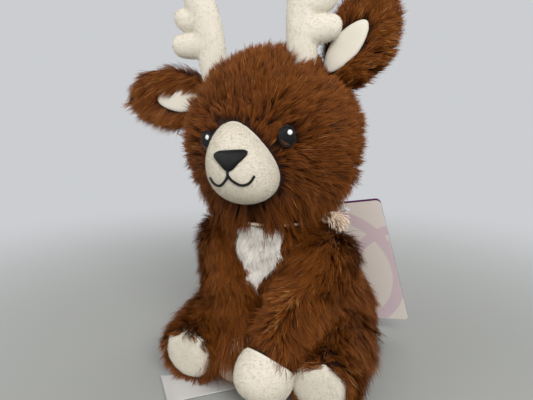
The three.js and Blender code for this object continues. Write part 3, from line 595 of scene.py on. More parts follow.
def scatter(form, count, rng, extra, keep):
    """Places spread evenly over a form's area: cells are drawn by their area, then a place in each."""
    around, along = 96, 72
    v, u = np.meshgrid((np.arange(along) + 0.5) / along, (np.arange(around) + 0.5) / around, indexing="ij")
    half_u, half_v = 0.5 / around, 0.5 / along
    turn = 2 * math.pi
    ahead = form(turn * (u + half_u), v, extra) - form(turn * (u - half_u), v, extra)
    upward = form(turn * u, v + half_v, extra) - form(turn * u, v - half_v, extra)
    area = np.linalg.norm(np.cross(ahead, upward), axis=-1).ravel()
    centres = form(turn * u, v, extra).reshape(-1, 3)
    outward = unit(np.cross(ahead, upward)).reshape(-1, 3)
    share = area * keep(centres, outward)
    cells = rng.choice(len(share), size=int(count * 1.15), p=share / share.sum())
    u = turn * (u.ravel()[cells] + rng.uniform(-half_u, half_u, len(cells)))
    v = np.clip(v.ravel()[cells] + rng.uniform(-half_v, half_v, len(cells)), 0, 1)
    points, normals = surface_at(form, u, v, extra)
    kept = np.flatnonzero(keep(points, normals))[:count]
    return points[kept], normals[kept]


def strand_mesh(name, root, bend, tip, out, width, shade, rng, rows=4):
    """Flat strands, each along a curve from its root towards a bend to its tip, and narrower the further it goes.

    A point at a share t is (1-t)^2 of the root, 2t(1-t) of the bend and t^2 of the tip. The strand's map has its
    shade across and its share along up.
    """
    count = len(root)
    chord = unit(tip - root)
    side = unit(np.cross(chord, out) + 1e-9)
    twist = rng.uniform(-0.55, 0.55, (count, 1))
    side = side * np.cos(twist) + np.cross(chord, side) * np.sin(twist)
    shares = np.linspace(0, 1, rows) ** 0.9
    points = []
    for share in shares:
        middle = (1 - share) ** 2 * root + 2 * share * (1 - share) * bend + share**2 * tip
        if share < 1:
            reach = 0.5 * width * (1 - 0.45 * share)
            points += [middle - reach * side, middle + reach * side]
        else:
            points.append(middle)
    points = np.stack(points, axis=1)
    points[..., 2] = np.maximum(points[..., 2], FLOOR_CLEARANCE)
    per = points.shape[1]
    faces = []
    for row in range(rows - 2):
        a = 2 * row
        faces += [[a, a + 1, a + 3], [a, a + 3, a + 2]]
    faces.append([per - 3, per - 2, per - 1])
    corners = (np.array(faces)[None] + (np.arange(count) * per)[:, None, None]).reshape(-1)
    mesh = bpy.data.meshes.new(name)
    mesh.vertices.add(count * per)
    mesh.vertices.foreach_set("co", points.astype(np.float32).ravel())
    mesh.loops.add(len(corners))
    mesh.loops.foreach_set("vertex_index", corners.astype(np.int32))
    mesh.polygons.add(len(corners) // 3)
    mesh.polygons.foreach_set("loop_start", np.arange(0, len(corners), 3, dtype=np.int32))
    mesh.polygons.foreach_set("use_smooth", np.ones(len(corners) // 3, bool))
    across = np.tile([-1, 1] * (rows - 1) + [0], (count, 1)) * 0.002
    along = np.tile(np.append(np.repeat(shares[:-1], 2), 1.0), (count, 1))
    places = np.stack([shade[:, None] + across, 0.01 + 0.98 * along], axis=-1).reshape(-1, 2)
    layer = mesh.uv_layers.new(name="OFBake")
    layer.data.foreach_set("uv", places[corners].astype(np.float32).ravel())
    mesh.update()
    mesh.validate()
    return mesh


def grow(name, body, form, count, flow, keep, clear, seed, depth=PILE_DEPTH, tuft=9, slot_name="brown_pile"):
    """Long pile on a form. Tufts stand on places spread by area, and the strands of a tuft lean together.

    The flow gives each tuft its direction along the surface, its rise off it, its length and its shade.
    Slow waves and chance bend these, and strands that would cross what must stay bare are left out.
    """
    sizes, finish = bpy.context.scene.deer_pile, finishes()
    material = finish.bib if slot_name == "white_pile" else finish.pile
    rng = np.random.default_rng(seed)
    centres, normals = scatter(form, int(count * sizes.density) // tuft, rng, -depth, keep)
    way, rise, length, shade = flow(centres, normals)
    many = len(centres)
    slow = waves(centres, 22 * MM, seed + 1)
    quick = waves(centres, 9 * MM, seed + 2)
    way = unit(along_skin(way, normals))
    aside = np.cross(normals, way)
    veer = 0.34 * slow[:, :1] + 0.24 * quick[:, :1] + rng.normal(0, 0.13, (many, 1))
    way = unit(way * np.cos(veer) + aside * np.sin(veer))
    rise = rise[:, None] + 0.16 * slow[:, 1:2] + 0.14 * quick[:, 1:2] + rng.normal(0, 0.09, (many, 1))
    length = length[:, None] * (1 + 0.12 * quick[:, 2:3] + rng.normal(0, 0.1, (many, 1)))
    shade = shade + 0.1 * slow[:, 2] + 0.1 * quick[:, 0] + rng.normal(0, 0.13, many)

    def spread_out(values):
        return np.repeat(values, tuft, axis=0)

    total = many * tuft
    centres, normals, way, rise, length = (spread_out(v) for v in (centres, normals, way, rise, length))
    shade = spread_out(shade) + rng.normal(0, 0.07, total)
    aside = np.cross(normals, way)
    off = rng.normal(0, 0.62, (total, 2)) * TUFT_SPREAD
    root_off = off[:, :1] * way + off[:, 1:] * aside
    root = centres + root_off
    turn = rng.normal(0, 0.09, (total, 1))
    way = way * np.cos(turn) + aside * np.sin(turn)
    rise = rise + rng.normal(0, 0.07, (total, 1))
    length = length * rng.uniform(0.78, 1.12, (total, 1))
    bend = root + 0.5 * length * (way * np.cos(rise + 0.4) + normals * np.sin(rise + 0.4))
    tip = centres + 0.36 * root_off + length * (way * np.cos(rise) + normals * np.sin(rise))
    tip = tip + length * STRAND_DROOP
    good = clear(root, 0.5 * (bend + tip), tip)
    root, bend, tip, normals, shade = (v[good] for v in (root, bend, tip, normals, shade))
    shade = np.clip(0.5 + shade, 0.03, 0.95)
    # Strands at random, and many of those already brightest, as along the left arm's parting, get the glint shade:
    # painted highlights on the pile.
    chance = PAINTED_SPARKLE_SHARE + 0.4 * (shade > 0.9)
    shade = np.where(rng.uniform(size=len(shade)) < chance, PAINTED_SPARKLE_SHADE, np.minimum(shade, 0.9))
    width = sizes.width * rng.uniform(0.75, 1.25, (len(root), 1))
    mesh = strand_mesh(name, root, bend, tip, normals, width, shade, rng)
    return finish_piece(name, mesh, body, material)


def grow_halves(body, form, counts, flow, keep, clear, seed, behind):
    """Long pile as a front and a back piece, which meet where the test for behind changes."""
    for number, half in enumerate(("front", "back")):
        grow(f"{body}_pile_{half}", body, form, counts[number], flow,
             lambda points, normals: keep(points, normals) & (behind(points) == bool(number)), clear, seed + number)


def nap(name, body, form, count, keep, seed, length=1.3 * MM):
    """Short pile on velour at places spread by area, combed a little by slow waves."""
    rng = np.random.default_rng(seed)
    points, normals = scatter(form, int(count * bpy.context.scene.deer_pile.density), rng, 0, keep)
    lean = rng.normal(0, 0.4, points.shape) + 0.2 * waves(points, 14 * MM, seed)
    out = unit(normals + lean - dot(lean, normals) * normals)
    stand(name, body, points - 0.3 * MM * normals, normals, out, length, width=0.27 * MM, rng=rng)


def stand(name, body, root, normals, out, length, width, rng):
    """Thin strands that stand straight on their roots, with chance in their length, shade and width."""
    reach = length * rng.uniform(0.6, 1.2, (len(root), 1))
    shade = np.clip(0.5 + rng.normal(0, 0.2, len(root)), 0.03, 0.97)
    width = width * rng.uniform(0.7, 1.3, (len(root), 1))
    mesh = strand_mesh(name, root, root + 0.5 * reach * out, root + reach * out, normals, width, shade, rng, rows=3)
    finish_piece(name, mesh, body, finishes().nap)


def padded_skin(name, body, slot_name, rings, replaced):
    """A closed skin that stands for the solids it covers."""
    finish = finishes()
    materials = {"brown_pile": finish.backing, "white_pile": finish.bib_backing, "cream_velour": finish.velour}
    piece = finish_piece(name, mesh_of(name, *closed_grid(rings)), body, materials[slot_name])
    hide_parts(*replaced)


# Materials

def new_material(name):
    material = bpy.data.materials.new(name)
    material.use_nodes = True
    return material, material.node_tree, material.node_tree.nodes["Principled BSDF"]


def add(tree, kind, inputs=None, **settings):
    """A new node with its settings, and with values or links on its inputs."""
    node = tree.nodes.new(kind)
    for name, value in settings.items():
        setattr(node, name, value)
    for name, value in (inputs or {}).items():
        if isinstance(value, bpy.types.NodeSocket):
            tree.links.new(value, node.inputs[name])
        else:
            node.inputs[name].default_value = value
    return node


def ramp(tree, value, stops):
    """A colour that runs smoothly through stops of place and colour."""
    node = add(tree, "ShaderNodeValToRGB", {"Fac": value})
    elements = node.color_ramp.elements
    while len(elements) < len(stops):
        elements.new(0.5)
    for element, (place, colour) in zip(elements, stops):
        element.position = place
        element.color = (*colour, 1)
    return node.outputs["Color"]


def mixed(tree, factor, first, second):
    """Two colours mixed by a factor."""
    node = add(tree, "ShaderNodeMix", data_type="RGBA")
    for index, value in ((0, factor), (6, first), (7, second)):
        if isinstance(value, bpy.types.NodeSocket):
            tree.links.new(value, node.inputs[index])
        else:
            node.inputs[index].default_value = value if index == 0 else (*value, 1)
    return node.outputs[2]


def maths(tree, operation, first, second=0.5):
    return add(tree, "ShaderNodeMath", {0: first, 1: second}, operation=operation).outputs[0]


def share_between(tree, value, low, high, **settings):
    """Nought where a value is low, one where it is high."""
    inputs = {"Value": value, "From Min": low, "From Max": high}
    return add(tree, "ShaderNodeMapRange", inputs, **settings).outputs["Result"]


def finish_shader(tree, shader, colour, roughness, **settings):
    """A shader's colour, where one is worked out, its roughness, and its other settings by name."""
    if colour:
        tree.links.new(colour, shader.inputs["Base Color"])
    for name, value in {"Roughness": roughness, **settings}.items():
        shader.inputs[name.replace("_", " ")].default_value = value


def turned_in(tree, place, turn, **settings):
    """Places seen from a frame of its own turn."""
    inputs = {"Vector": place, "Rotation": turn, **settings}
    return add(tree, "ShaderNodeMapping", inputs, vector_type="TEXTURE").outputs["Vector"]


def emboss(tree, shader, height, strength, depth):
    """Relief on a shader, from a height."""
    bump = add(tree, "ShaderNodeBump", {"Height": height, "Strength": strength, "Distance": depth})
    tree.links.new(bump.outputs["Normal"], shader.inputs["Normal"])


def times(colour, share):
    return tuple(min(1.0, channel * share) for channel in colour)


def pile_material(name, root, middle, tip, painted_sparkle, roughness, sheen):
    """Pile darkened towards its roots by painted shade deep in the pile and lighter at its tips, with strands that run
    from dull to bright and a few that take a painted glint.
    """
    material, tree, shader = new_material(name)
    strand = add(tree, "ShaderNodeUVMap", uv_map="OFBake").outputs["UV"]
    place = add(tree, "ShaderNodeSeparateXYZ", {"Vector": strand})
    shade, along = place.outputs["X"], place.outputs["Y"]
    # Both ramps darken the strands towards their roots: painted shade deep in the pile.
    dull = ramp(tree, along, ((0, times(root, 0.5)), (0.4, root), (0.75, times(middle, 0.62)), (1, times(middle, 0.8))))
    full = ramp(tree, along, ((0, root), (0.35, times(middle, 0.85)), (0.7, middle), (1, tip)))
    # Strands whose shade is above 0.97 turn to the glint colour towards their tips: a painted glint.
    glow = maths(tree, "MULTIPLY", share_between(tree, shade, 0.97, 0.98), along)
    colour = mixed(tree, glow, mixed(tree, shade, dull, full), painted_sparkle)
    finish_shader(tree, shader, colour, roughness, Specular_IOR_Level=0.15, Sheen_Weight=sheen, Sheen_Roughness=0.4,
                  Sheen_Tint=(*tip, 1))
    return material


def cloth_material(name, colour, other, roughness, sheen, grain, patch, relief):
    """Cloth whose colour varies in soft patches, with a fine relief of its nap or weave."""
    material, tree, shader = new_material(name)
    place = add(tree, "ShaderNodeTexCoord").outputs["Object"]
    soft = add(tree, "ShaderNodeTexNoise", {"Vector": place, "Scale": patch, "Detail": 3.0}).outputs["Fac"]
    fine = add(tree, "ShaderNodeTexNoise", {"Vector": place, "Scale": grain, "Detail": 2.0}).outputs["Fac"]
    base = mixed(tree, share_between(tree, soft, 0.35, 0.7), colour, other)
    colour = mixed(tree, share_between(tree, fine, 0.3, 0.7), times(colour, 0.97), base)
    finish_shader(tree, shader, colour, roughness, Specular_IOR_Level=0.25, Sheen_Weight=sheen)
    emboss(tree, shader, fine, 0.5, relief)
    return material


def thread_material(name, colour, roughness, sheen):
    """Thread, with fine fibres along and round it and a soft shine."""
    return cloth_material(name, colour, times(colour, 1.6), roughness, sheen, 2600.0, 300.0, 0.15 * MM)


# The backing's dark colour is painted shade under the pile, where strands cover it.
def backing_material(name, colour, other):
    return cloth_material(name, colour, other, 0.95, 0.1, 700.0, 120.0, 0.5 * MM)


class Finishes:
    """The deer's materials, made once."""

    def __init__(self, scene):
        tones = scene.deer_tones
        root, middle, tip, painted_sparkle, velour, black, bib, cord = (tuple(colour) for colour in (
            tones.pile_root, tones.pile_middle, tones.pile_tip, tones.painted_pile_glint,
            tones.velour, tones.thread, tones.bib, tones.cord,
        ))
        self.pile = pile_material("brown pile", root, middle, tip, painted_sparkle, 0.6, 0.02)
        # Both backings are darker than their pile: painted shade beneath the strands.
        self.backing = backing_material("pile backing", times(root, 0.8), times(root, 0.5))
        self.bib = pile_material("pale pile", times(bib, 0.6), times(bib, 0.92), bib, (0.95, 0.93, 0.9), 0.6, 0.1)
        self.bib_backing = backing_material("pale backing", times(bib, 0.5), times(bib, 0.6))
        self.velour = cloth_material("cream velour", velour, times(velour, 0.97), 0.95, 0.1, 1500.0, 90.0, 0.1 * MM)
        # The nap's roots are darkened a little too: painted shade.
        self.nap = pile_material("cream nap", times(velour, 0.96), velour, velour, velour, 0.9, 0.1)
        self.black = thread_material("black thread", black, 0.42, 0.02)
        self.white = thread_material("white thread", (0.86, 0.86, 0.84), 0.5, 0.1)
        self.brown = thread_material("brown thread", times(middle, 0.3), 0.5, 0.02)
        self.cord = cloth_material("cotton cord", cord, times(cord, 0.8), 0.85, 0.3, 2200.0, 260.0, 0.2 * MM)


@functools.cache
def finishes():
    return Finishes(bpy.context.scene)


# Sizes and colours that a user may change

def length_of(name, description, default, low=0.1 * MM, high=1.0):
    return FloatProperty(
        name=name, description=description, default=default, min=low, max=high, unit="LENGTH", subtype="DISTANCE")


def pile_of(name, description, default):
    return length_of(name, description, default, 2 * MM, 30 * MM)


def angle_of(name, description, degrees):
    return FloatProperty(
        name=name, description=description, default=math.radians(degrees), unit="ROTATION", subtype="ANGLE")


def power_of(name, description, default):
    return FloatProperty(name=name, description=description, default=default, unit="POWER")


class DeerPile(bpy.types.PropertyGroup):
    """Sizes of the long pile."""
    head_length: pile_of("Head", "Length of the pile on the head", 15 * MM)
    body_length: pile_of("Body", "Length of the pile on the body", 14.5 * MM)
    arm_length: pile_of("Arms", "Length of the pile on the arms", 16 * MM)
    leg_length: pile_of("Legs", "Length of the pile on the legs", 14.5 * MM)
    ear_length: pile_of("Ears", "Length of the pile on the ears", 14 * MM)
    width: length_of("Strand", "Width of a strand at its root", 0.44 * MM)
    density: FloatProperty(
        name="Density", description="Share of the full number of strands", default=1.0, min=0.05, max=1.5,
        subtype="FACTOR")


def colour_of(name, description, colour):
    return FloatVectorProperty(name=name, description=description, default=colour, min=0, max=1, subtype="COLOR")


class DeerTones(bpy.types.PropertyGroup):
    """Colours of the deer and of its stage."""
    # The root colour, darker than the pile's own, is painted shade deep in the pile.
    pile_root: colour_of("Pile roots", "Colour deep in the brown pile", tone(50, 22, 5))
    pile_middle: colour_of("Pile", "Colour of the brown pile", tone(125, 66, 17))
    pile_tip: colour_of("Pile tips", "Colour at the tips of the brown pile", tone(161, 96, 34))
    # The bright strands' colour is a painted glint on the pile's fibres.
    painted_pile_glint: colour_of("Bright strands", "Colour of the few bright strands", tone(184, 128, 76))
    velour: colour_of("Velour", "Colour of the muzzle, antlers, paws and soles", tone(229, 221, 205))
    thread: colour_of("Face thread", "Colour of the nose, mouth and eyes", tone(14, 13, 14))
    bib: colour_of("Bib", "Colour of the pile on the chest", tone(250, 244, 234))
    cord: colour_of("Cord", "Colour of the cord round the neck", tone(246, 222, 196))
    card: colour_of("Tag", "Colour of the hang tag", tone(250, 240, 230))
    band: colour_of("Tag bands", "Colour of the bands on the hang tag", tone(236, 214, 220))
    card_back: colour_of("Tag back", "Colour of the back leaf of the hang tag", tone(96, 32, 92))
    satin: colour_of("Label", "Colour of the care label", tone(205, 203, 200))
    floor: colour_of("Floor", "Colour of the floor", tone(160, 161, 157))
    backdrop: colour_of("Backdrop", "Colour behind the deer", tone(203, 205, 208))


class DeerFace(bpy.types.PropertyGroup):
    """Sizes of the face."""
    eye_width: length_of("Eye width", "Width of an eye", 11.8 * MM)
    eye_height: length_of("Eye height", "Height of an eye", 15.2 * MM)
    nose_width: length_of("Nose width", "Width of the nose", 22.5 * MM)
    nose_height: length_of("Nose height", "Height of the nose", 14.5 * MM)
    stitch: length_of("Stitch", "Distance between stitches", 0.62 * MM)
    mouth_width: length_of("Mouth width", "Width of the mouth", 33 * MM)
    mouth_drop: length_of("Mouth drop", "Depth of the mouth's curves", 9.5 * MM)


class DeerStage(bpy.types.PropertyGroup):
    """The camera and the lamps."""
    camera_distance: length_of("Distance", "Camera to the middle of the seat, level", 0.38)
    camera_height: length_of("Height", "Camera above the floor", 0.209)
    camera_turn: angle_of("Turn", "Camera round the deer", 21)
    camera_aside: angle_of("Aside", "Camera's look past the deer", 2.1)
    camera_pitch: angle_of("Pitch", "Camera's look down", 10.8)
    lens: FloatProperty(name="Lens", description="Focal length", default=30.39, unit="CAMERA")
    key: power_of("Key lamp", "Power of the lamp before the deer", 9.5)
    fill: power_of("Fill lamp", "Power of the lamp beside the deer", 4.2)
    back: power_of("Back lamp", "Power of the lamp behind the deer", 4.0)


# Operators

class Maker:
    """What the operators share: each makes its pieces in the scene."""
    bl_options = {"REGISTER", "UNDO"}

    def execute(self, context):
        self.make(context.scene)
        return {"FINISHED"}


class DEER_OT_stage(Maker, bpy.types.Operator):
    """Camera, lamps, floor and backdrop"""
    bl_idname = "deer.stage"
    bl_label = "Stage"

    def make(self, scene):
        settings = scene.deer_stage
        scene.view_settings.view_transform = "Standard"
        pitch = settings.camera_pitch
        inward = Vector((-math.sin(settings.camera_turn), math.cos(settings.camera_turn), 0))
        place = Vector((0, 0, settings.camera_height)) - inward * settings.camera_distance
        level = Matrix.Rotation(settings.camera_aside, 3, "Z") @ inward
        ahead = level * math.cos(pitch) - Vector((0, 0, math.sin(pitch)))
        camera = bpy.data.objects.new("camera", bpy.data.cameras.new("camera"))
        camera.data.lens = settings.lens
        camera.data.sensor_width = 36.0
        camera.data.clip_start = 0.01
        camera.location = place
        camera.rotation_euler = ahead.to_track_quat("-Z", "Y").to_euler()
        scene.collection.objects.link(camera)
        scene.camera = camera
        lamps = (
            ("key lamp", settings.key, 0.55, (0.62, -0.75, 0.78)),
            ("fill lamp", settings.fill, 0.9, (-0.95, -0.55, 0.55)),
            ("back lamp", settings.back, 0.9, (0.2, 0.95, 0.8)),
        )
        for name, power, size, spot in lamps:
            lamp = bpy.data.objects.new(name, bpy.data.lights.new(name, "AREA"))
            lamp.data.energy = power
            lamp.data.size = size
            lamp.location = spot
            lamp.rotation_euler = (Vector((0, 0, 0.14)) - Vector(spot)).to_track_quat("-Z", "Y").to_euler()
            scene.collection.objects.link(lamp)
        self.make_floor(scene)
        self.make_world(scene)

    def make_floor(self, scene):
        """A wide disc whose colour runs into the backdrop's with the distance from the deer."""
        tones = scene.deer_tones
        rings, around, reach = 12, 96, 3.0
        radius = np.linspace(0.02, reach, rings)[:, None]
        angle = full_turn(around)
        points = np.stack([radius * np.cos(angle), radius * np.sin(angle), np.zeros((rings, around))], axis=-1)
        points = np.concatenate([points.reshape(-1, 3), [[0, 0, 0]]])
        column = np.arange(around)
        middle = np.stack([np.full(around, rings * around), column, (column + 1) % around], axis=1).tolist()
        faces = [face[::-1] for face in grid_faces(rings, around, True)]
        floor = bpy.data.objects.new("floor", mesh_of("floor", points, faces + middle))
        scene.collection.objects.link(floor)
        material, tree, shader = new_material("floor")
        place = add(tree, "ShaderNodeTexCoord").outputs["Object"]
        far = add(tree, "ShaderNodeVectorMath", {0: place}, operation="LENGTH").outputs["Value"]
        share = share_between(tree, far, 0.16, 0.7, interpolation_type="SMOOTHSTEP")
        finish_shader(tree, shader, None, 0.8, Base_Color=(*tones.floor, 1), Specular_IOR_Level=0.1)
        ray = add(tree, "ShaderNodeLightPath").outputs["Is Camera Ray"]
        seen = maths(tree, "MULTIPLY", share, ray)
        glow = add(tree, "ShaderNodeEmission", {"Color": (*tones.backdrop, 1)}).outputs[0]
        mix = add(tree, "ShaderNodeMixShader", {0: seen, 1: shader.outputs[0], 2: glow})
        tree.links.new(mix.outputs[0], tree.nodes["Material Output"].inputs["Surface"])
        floor.data.materials.append(material)

    def make_world(self, scene):
        """Low even light, and the backdrop's colour where the camera looks past the floor."""
        world = bpy.data.worlds.new("backdrop")
        world.use_nodes = True
        tree = world.node_tree
        seen = tree.nodes["Background"]
        seen.inputs["Color"].default_value = (*scene.deer_tones.backdrop, 1)
        soft = add(tree, "ShaderNodeBackground", {"Color": (0.97, 0.98, 1, 1), "Strength": 0.55})
        ray = add(tree, "ShaderNodeLightPath").outputs["Is Camera Ray"]
        mix = add(tree, "ShaderNodeMixShader", {0: ray, 1: soft.outputs[0], 2: seen.outputs[0]})
        tree.links.new(mix.outputs[0], tree.nodes["World Output"].inputs["Surface"])
        scene.world = world


class DEER_OT_head(Maker, bpy.types.Operator):
    """Padded head and its long pile"""
    bl_idname = "deer.head"
    bl_label = "Head"

    def make(self, scene):
        rings = skin_of(head_form, -BACKING_DEPTH, around=72, along=48)
        padded_skin("head_skin", "head", "brown_pile", rings, replaced=("head_cover", "head_filling"))
        face = scene.deer_face
        half = (0.5 * face.eye_width, 0.5 * face.eye_height)

        def bare(points, grown):
            """Whether points are clear of the muzzle, the eyes and the roots of the antlers."""
            free = muzzle_share(points) > 0.97 + grown
            for side in SIDES:
                free &= (eye_share(points, side, *half) > 0.95 + 0.5 * grown) | beside_eye(points, side)
                free &= distance(points, joint_place(f"antler_{side}_flex")) > (8 - 40 * grown) * MM
            return free

        def beside_eye(points, side):
            """The outer side of the right eye, where the pile falls over it."""
            return (head_local(points) @ eye_frame(side)[1] < -1 * MM) & (side == "right")

        def keep(points, normals):
            local = head_local(points)
            free = bare(points, 0.06) & (local[:, 2] > -0.93 * HEAD_RADIUS)
            for side in SIDES:
                free &= distance(points, joint_place(f"ear_{side}_flap")) > 8 * MM
            return free

        lining_root = ear_place("left", np.array([-8, -9, 4]) * MM)

        def clear(root, middle, tip):
            free = bare(middle, -0.02) & bare(tip, -0.02) & bare(0.5 * (middle + tip), -0.02)
            return free & (distance(tip, lining_root) > 11 * MM)

        def flow(points, normals):
            local = head_local(points)
            from_muzzle = (local - (MUZZLE_PLACE + [0, -6 * MM, 0])) @ HEAD_TURN.T
            from_muzzle = unit(along_skin(from_muzzle, normals))
            outward = unit((points - HEAD_MIDDLE) * [1, 0, 0] + 1e-9)
            down = unit(along_skin(DOWN + 0.35 * outward, normals))
            behind = blend_between(local[:, 1:2], 0, 40 * MM)
            chin = blend_between(-local[:, 2:3], 20 * MM, 50 * MM)
            behind = 1 - (1 - behind) * (1 - chin)
            top = blend_between(local[:, 2:3], 34 * MM, 64 * MM)
            way = unit(from_muzzle * (1 - behind) + down * behind)
            near = blend_between(muzzle_share(points), 1.0, 1.75)
            near = near * np.minimum(*(
                blend_between(eye_share(points, side, *half), 1.0, 2.2) * 0.5 + 0.5 for side in SIDES
            ))
            hang = 0.85 * np.arcsin(np.clip(-normals[:, 2], 0, 1))
            rise = (0.32 + 0.3 * near + 0.32 * top[:, 0]) * (1 - chin[:, 0]) + hang * chin[:, 0]
            near = np.maximum(near, 0.9 * chin[:, 0])
            under = 0.95 - 0.4 * blend_between(points[:, 0], 6 * MM, 24 * MM)
            length = scene.deer_pile.head_length * (0.5 + 0.5 * near) * (1 - 0.12 * top[:, 0] + under * chin[:, 0])
            shade = 0.03 - 0.1 * near + 0.14 * blend_between(local[:, 2], -50 * MM, 30 * MM)
            return way, rise, length, shade

        grow_halves("head", head_form, (39000, 30000), flow, keep, clear, seed=11,
                    behind=lambda points: head_local(points)[:, 1] >= 4 * MM)


def stitches(reach, edges, on_surface, pitch, thick, slant, fill_lift):
    """Threads laid side by side from -reach to reach, each from the outline's low edge there to its high edge.

    The stitches swell off the cloth in their middle, and on_surface carries places to the cloth.
    """
    span = 2 * reach
    count = int(span / pitch)
    parts = []
    for index in range(count + 1):
        across = (index + 0.5) * span / (count + 1) - reach
        low, high = edges(across)
        if high - low < 0.6 * thick:
            continue
        share = np.linspace(0, 1, 12)
        up = low + (high - low) * share
        swell = fill_lift * np.sqrt(np.maximum(1 - (2 * share - 1) ** 4, 0))
        slanted = across + slant * (share - 0.5) * (high - low)
        path = on_surface(slanted, up, swell)
        out = on_surface(slanted, up, swell + 1 * MM) - path
        taper = np.where((share == 0) | (share == 1), 0.35, 1.0)
        parts.append(tube_rings(path, out, thick * taper, 6))
    return parts


class DEER_OT_face(Maker, bpy.types.Operator):
    """Velour muzzle, and the stitched nose, mouth and eyes"""
    bl_idname = "deer.face"
    bl_label = "Face"

    def make(self, scene):
        finish, face = finishes(), scene.deer_face
        rings = skin_of(muzzle_form, 0, around=96, along=64)
        padded_skin("muzzle_velour", "head", "cream_velour", rings, replaced=("muzzle",))
        nap("muzzle_nap", "head", muzzle_form, count=26000, keep=lambda points, normals: off_head(points, 4 * MM),
            seed=21, length=1.2 * MM)
        self.make_nose(face, finish)
        self.make_mouth(face, finish)
        for side in SIDES:
            self.make_eye(side, face, finish)

    def make_nose(self, face, finish):
        """Satin stitches over a rounded triangle, on a padded base."""
        line = smooth_rows(NOSE_ROWS, np.linspace(0, 1, 80))
        across, down = line[:, 0] * face.nose_width, line[:, 1] * face.nose_height
        widest = int(np.argmax(across))

        def edges(x):
            far = min(abs(x), across[widest] * 0.999)
            high = NOSE_TOP - np.interp(far, across[: widest + 1], down[: widest + 1])
            low = NOSE_TOP - np.interp(far, across[widest:][::-1], down[widest:][::-1])
            return low, high

        def lay(x, z, lift):
            return on_muzzle(np.asarray(x) + NOSE_ASIDE, z, 0.25 * MM + lift)

        parts = stitches(across[widest], edges, lay, face.stitch, thick=0.44 * MM, slant=0.06, fill_lift=1.5 * MM)
        outline = line * [face.nose_width, -face.nose_height] + [0, NOSE_TOP]
        parts += [self.base(outline, lay, relief=1.2 * MM, mirrored=True)]
        tube_piece("nose_stitches", "head", finish.black, parts, "nose_embroidery")

    def base(self, outline, on_surface, relief, mirrored):
        """A padded patch: rings that shrink from an outline to its middle as they rise, down to the cloth."""
        if mirrored:
            outline = np.concatenate([outline, outline[-2:0:-1] * [-1, 1]])[::-1]
        middle = outline.mean(axis=0)
        shares = np.array([1.0, 1.0, 0.96, 0.88, 0.74, 0.55, 0.34, 0.12])
        lifts = np.array([-1.0 * MM, 0, *(relief * np.sqrt(1 - shares[2:] ** 2) + 0.2 * MM)])
        rings = middle + (outline[None] - middle) * shares[:, None, None] * 0.97
        return on_surface(rings[..., 0], rings[..., 1], lifts[:, None])

    def make_mouth(self, face, finish):
        """Two-ply threads: a short one down from the nose and two curves from its end."""
        start = NOSE_TOP - face.nose_height
        line = smooth_path(MOUTH_ROWS * [face.mouth_width, -face.mouth_drop] + [0, start], 60)
        stub = smooth_path(np.array([[0, 0], [0, 0.16], [0, 0.34]]) * [1, -face.mouth_drop] + [0, start + 1 * MM], 16)
        parts = []
        for places, turns in ((line, 9), (line * [-1, 1], 9), (stub, 3)):
            path = on_muzzle(places[:, 0] + MOUTH_ASIDE, places[:, 1], 0.6 * MM)
            out = on_muzzle(places[:, 0] + MOUTH_ASIDE, places[:, 1], 2 * MM) - path
            taper = np.ones(len(path))
            taper[[0, -1]] = 0.3
            for ply in ply_paths(path, out, plies=2, offset=0.42 * MM, turns=turns):
                parts.append(tube_rings(ply, out, radius=0.62 * MM * taper, sides=7))
        tube_piece("mouth_thread", "head", finish.black, parts, "mouth_embroidery")

    def make_eye(self, side, face, finish):
        """An oval of satin stitches with a corded rim, a brown crescent low inside it and a small white glint."""
        half_width, half_height = 0.5 * face.eye_width, 0.5 * face.eye_height

        def lay(x, z, lift):
            return on_eye(side, *np.broadcast_arrays(np.asarray(x, float), z), 0.2 * MM + lift)

        def edges(x):
            reach = EYE_STITCHED * half_height * math.sqrt(max(0, 1 - (x / half_width) ** 2))
            return -reach, reach

        angle = full_turn(64)
        oval = np.stack([half_width * np.cos(angle), half_height * np.sin(angle)], axis=1)
        parts = stitches(EYE_STITCHED * half_width, edges, lay, face.stitch, thick=0.42 * MM, slant=0.0,
                         fill_lift=1.1 * MM)
        parts.append(self.base(oval, lay, relief=0.9 * MM, mirrored=False))
        rim = lay(EYE_RIM * oval[:, 0], EYE_RIM * oval[:, 1], 0.75 * MM)
        rim = np.concatenate([rim, rim[:1]])
        out = unit(rim - HEAD_MIDDLE)
        plies = ply_paths(rim, out, plies=2, offset=0.3 * MM, turns=26)
        parts += [tube_rings(ply, out, radius=0.42 * MM, sides=6) for ply in plies]
        tube_piece(f"eye_stitches_{side}", "head", finish.black, parts, f"eye_{side}")
        turn = np.linspace(CRESCENT_FROM, CRESCENT_TO, 26)
        arcs = []
        for step, share in enumerate(CRESCENT_SHARES):
            trim = slice(step * 3, len(turn) - step * 3)
            arc = lay(share * half_width * np.cos(turn[trim]), share * half_height * np.sin(turn[trim]), 1.35 * MM)
            arcs.append(tube_rings(arc, unit(arc - HEAD_MIDDLE), radius=0.34 * MM, sides=6))
        tube_piece(f"eye_crescent_{side}", "head", finish.brown, arcs)
        spots = []
        for step in np.linspace(-1, 1, 6):
            reach = GLINT_HIGH * math.sqrt(1.05 - step * step * 0.8)
            x = np.full(6, half_width / 3 + step * GLINT_WIDE)
            z = half_height / 3 + reach * np.linspace(-1, 1, 6)
            path = lay(x, z, 1.5 * MM + 0.25 * MM * np.cos(np.linspace(-1.2, 1.2, 6)))
            spots.append(tube_rings(path, unit(path - HEAD_MIDDLE), radius=0.36 * MM, sides=6))
        tube_piece(f"eye_glint_stitches_{side}", "head", finish.white, spots, f"eye_glint_{side}")


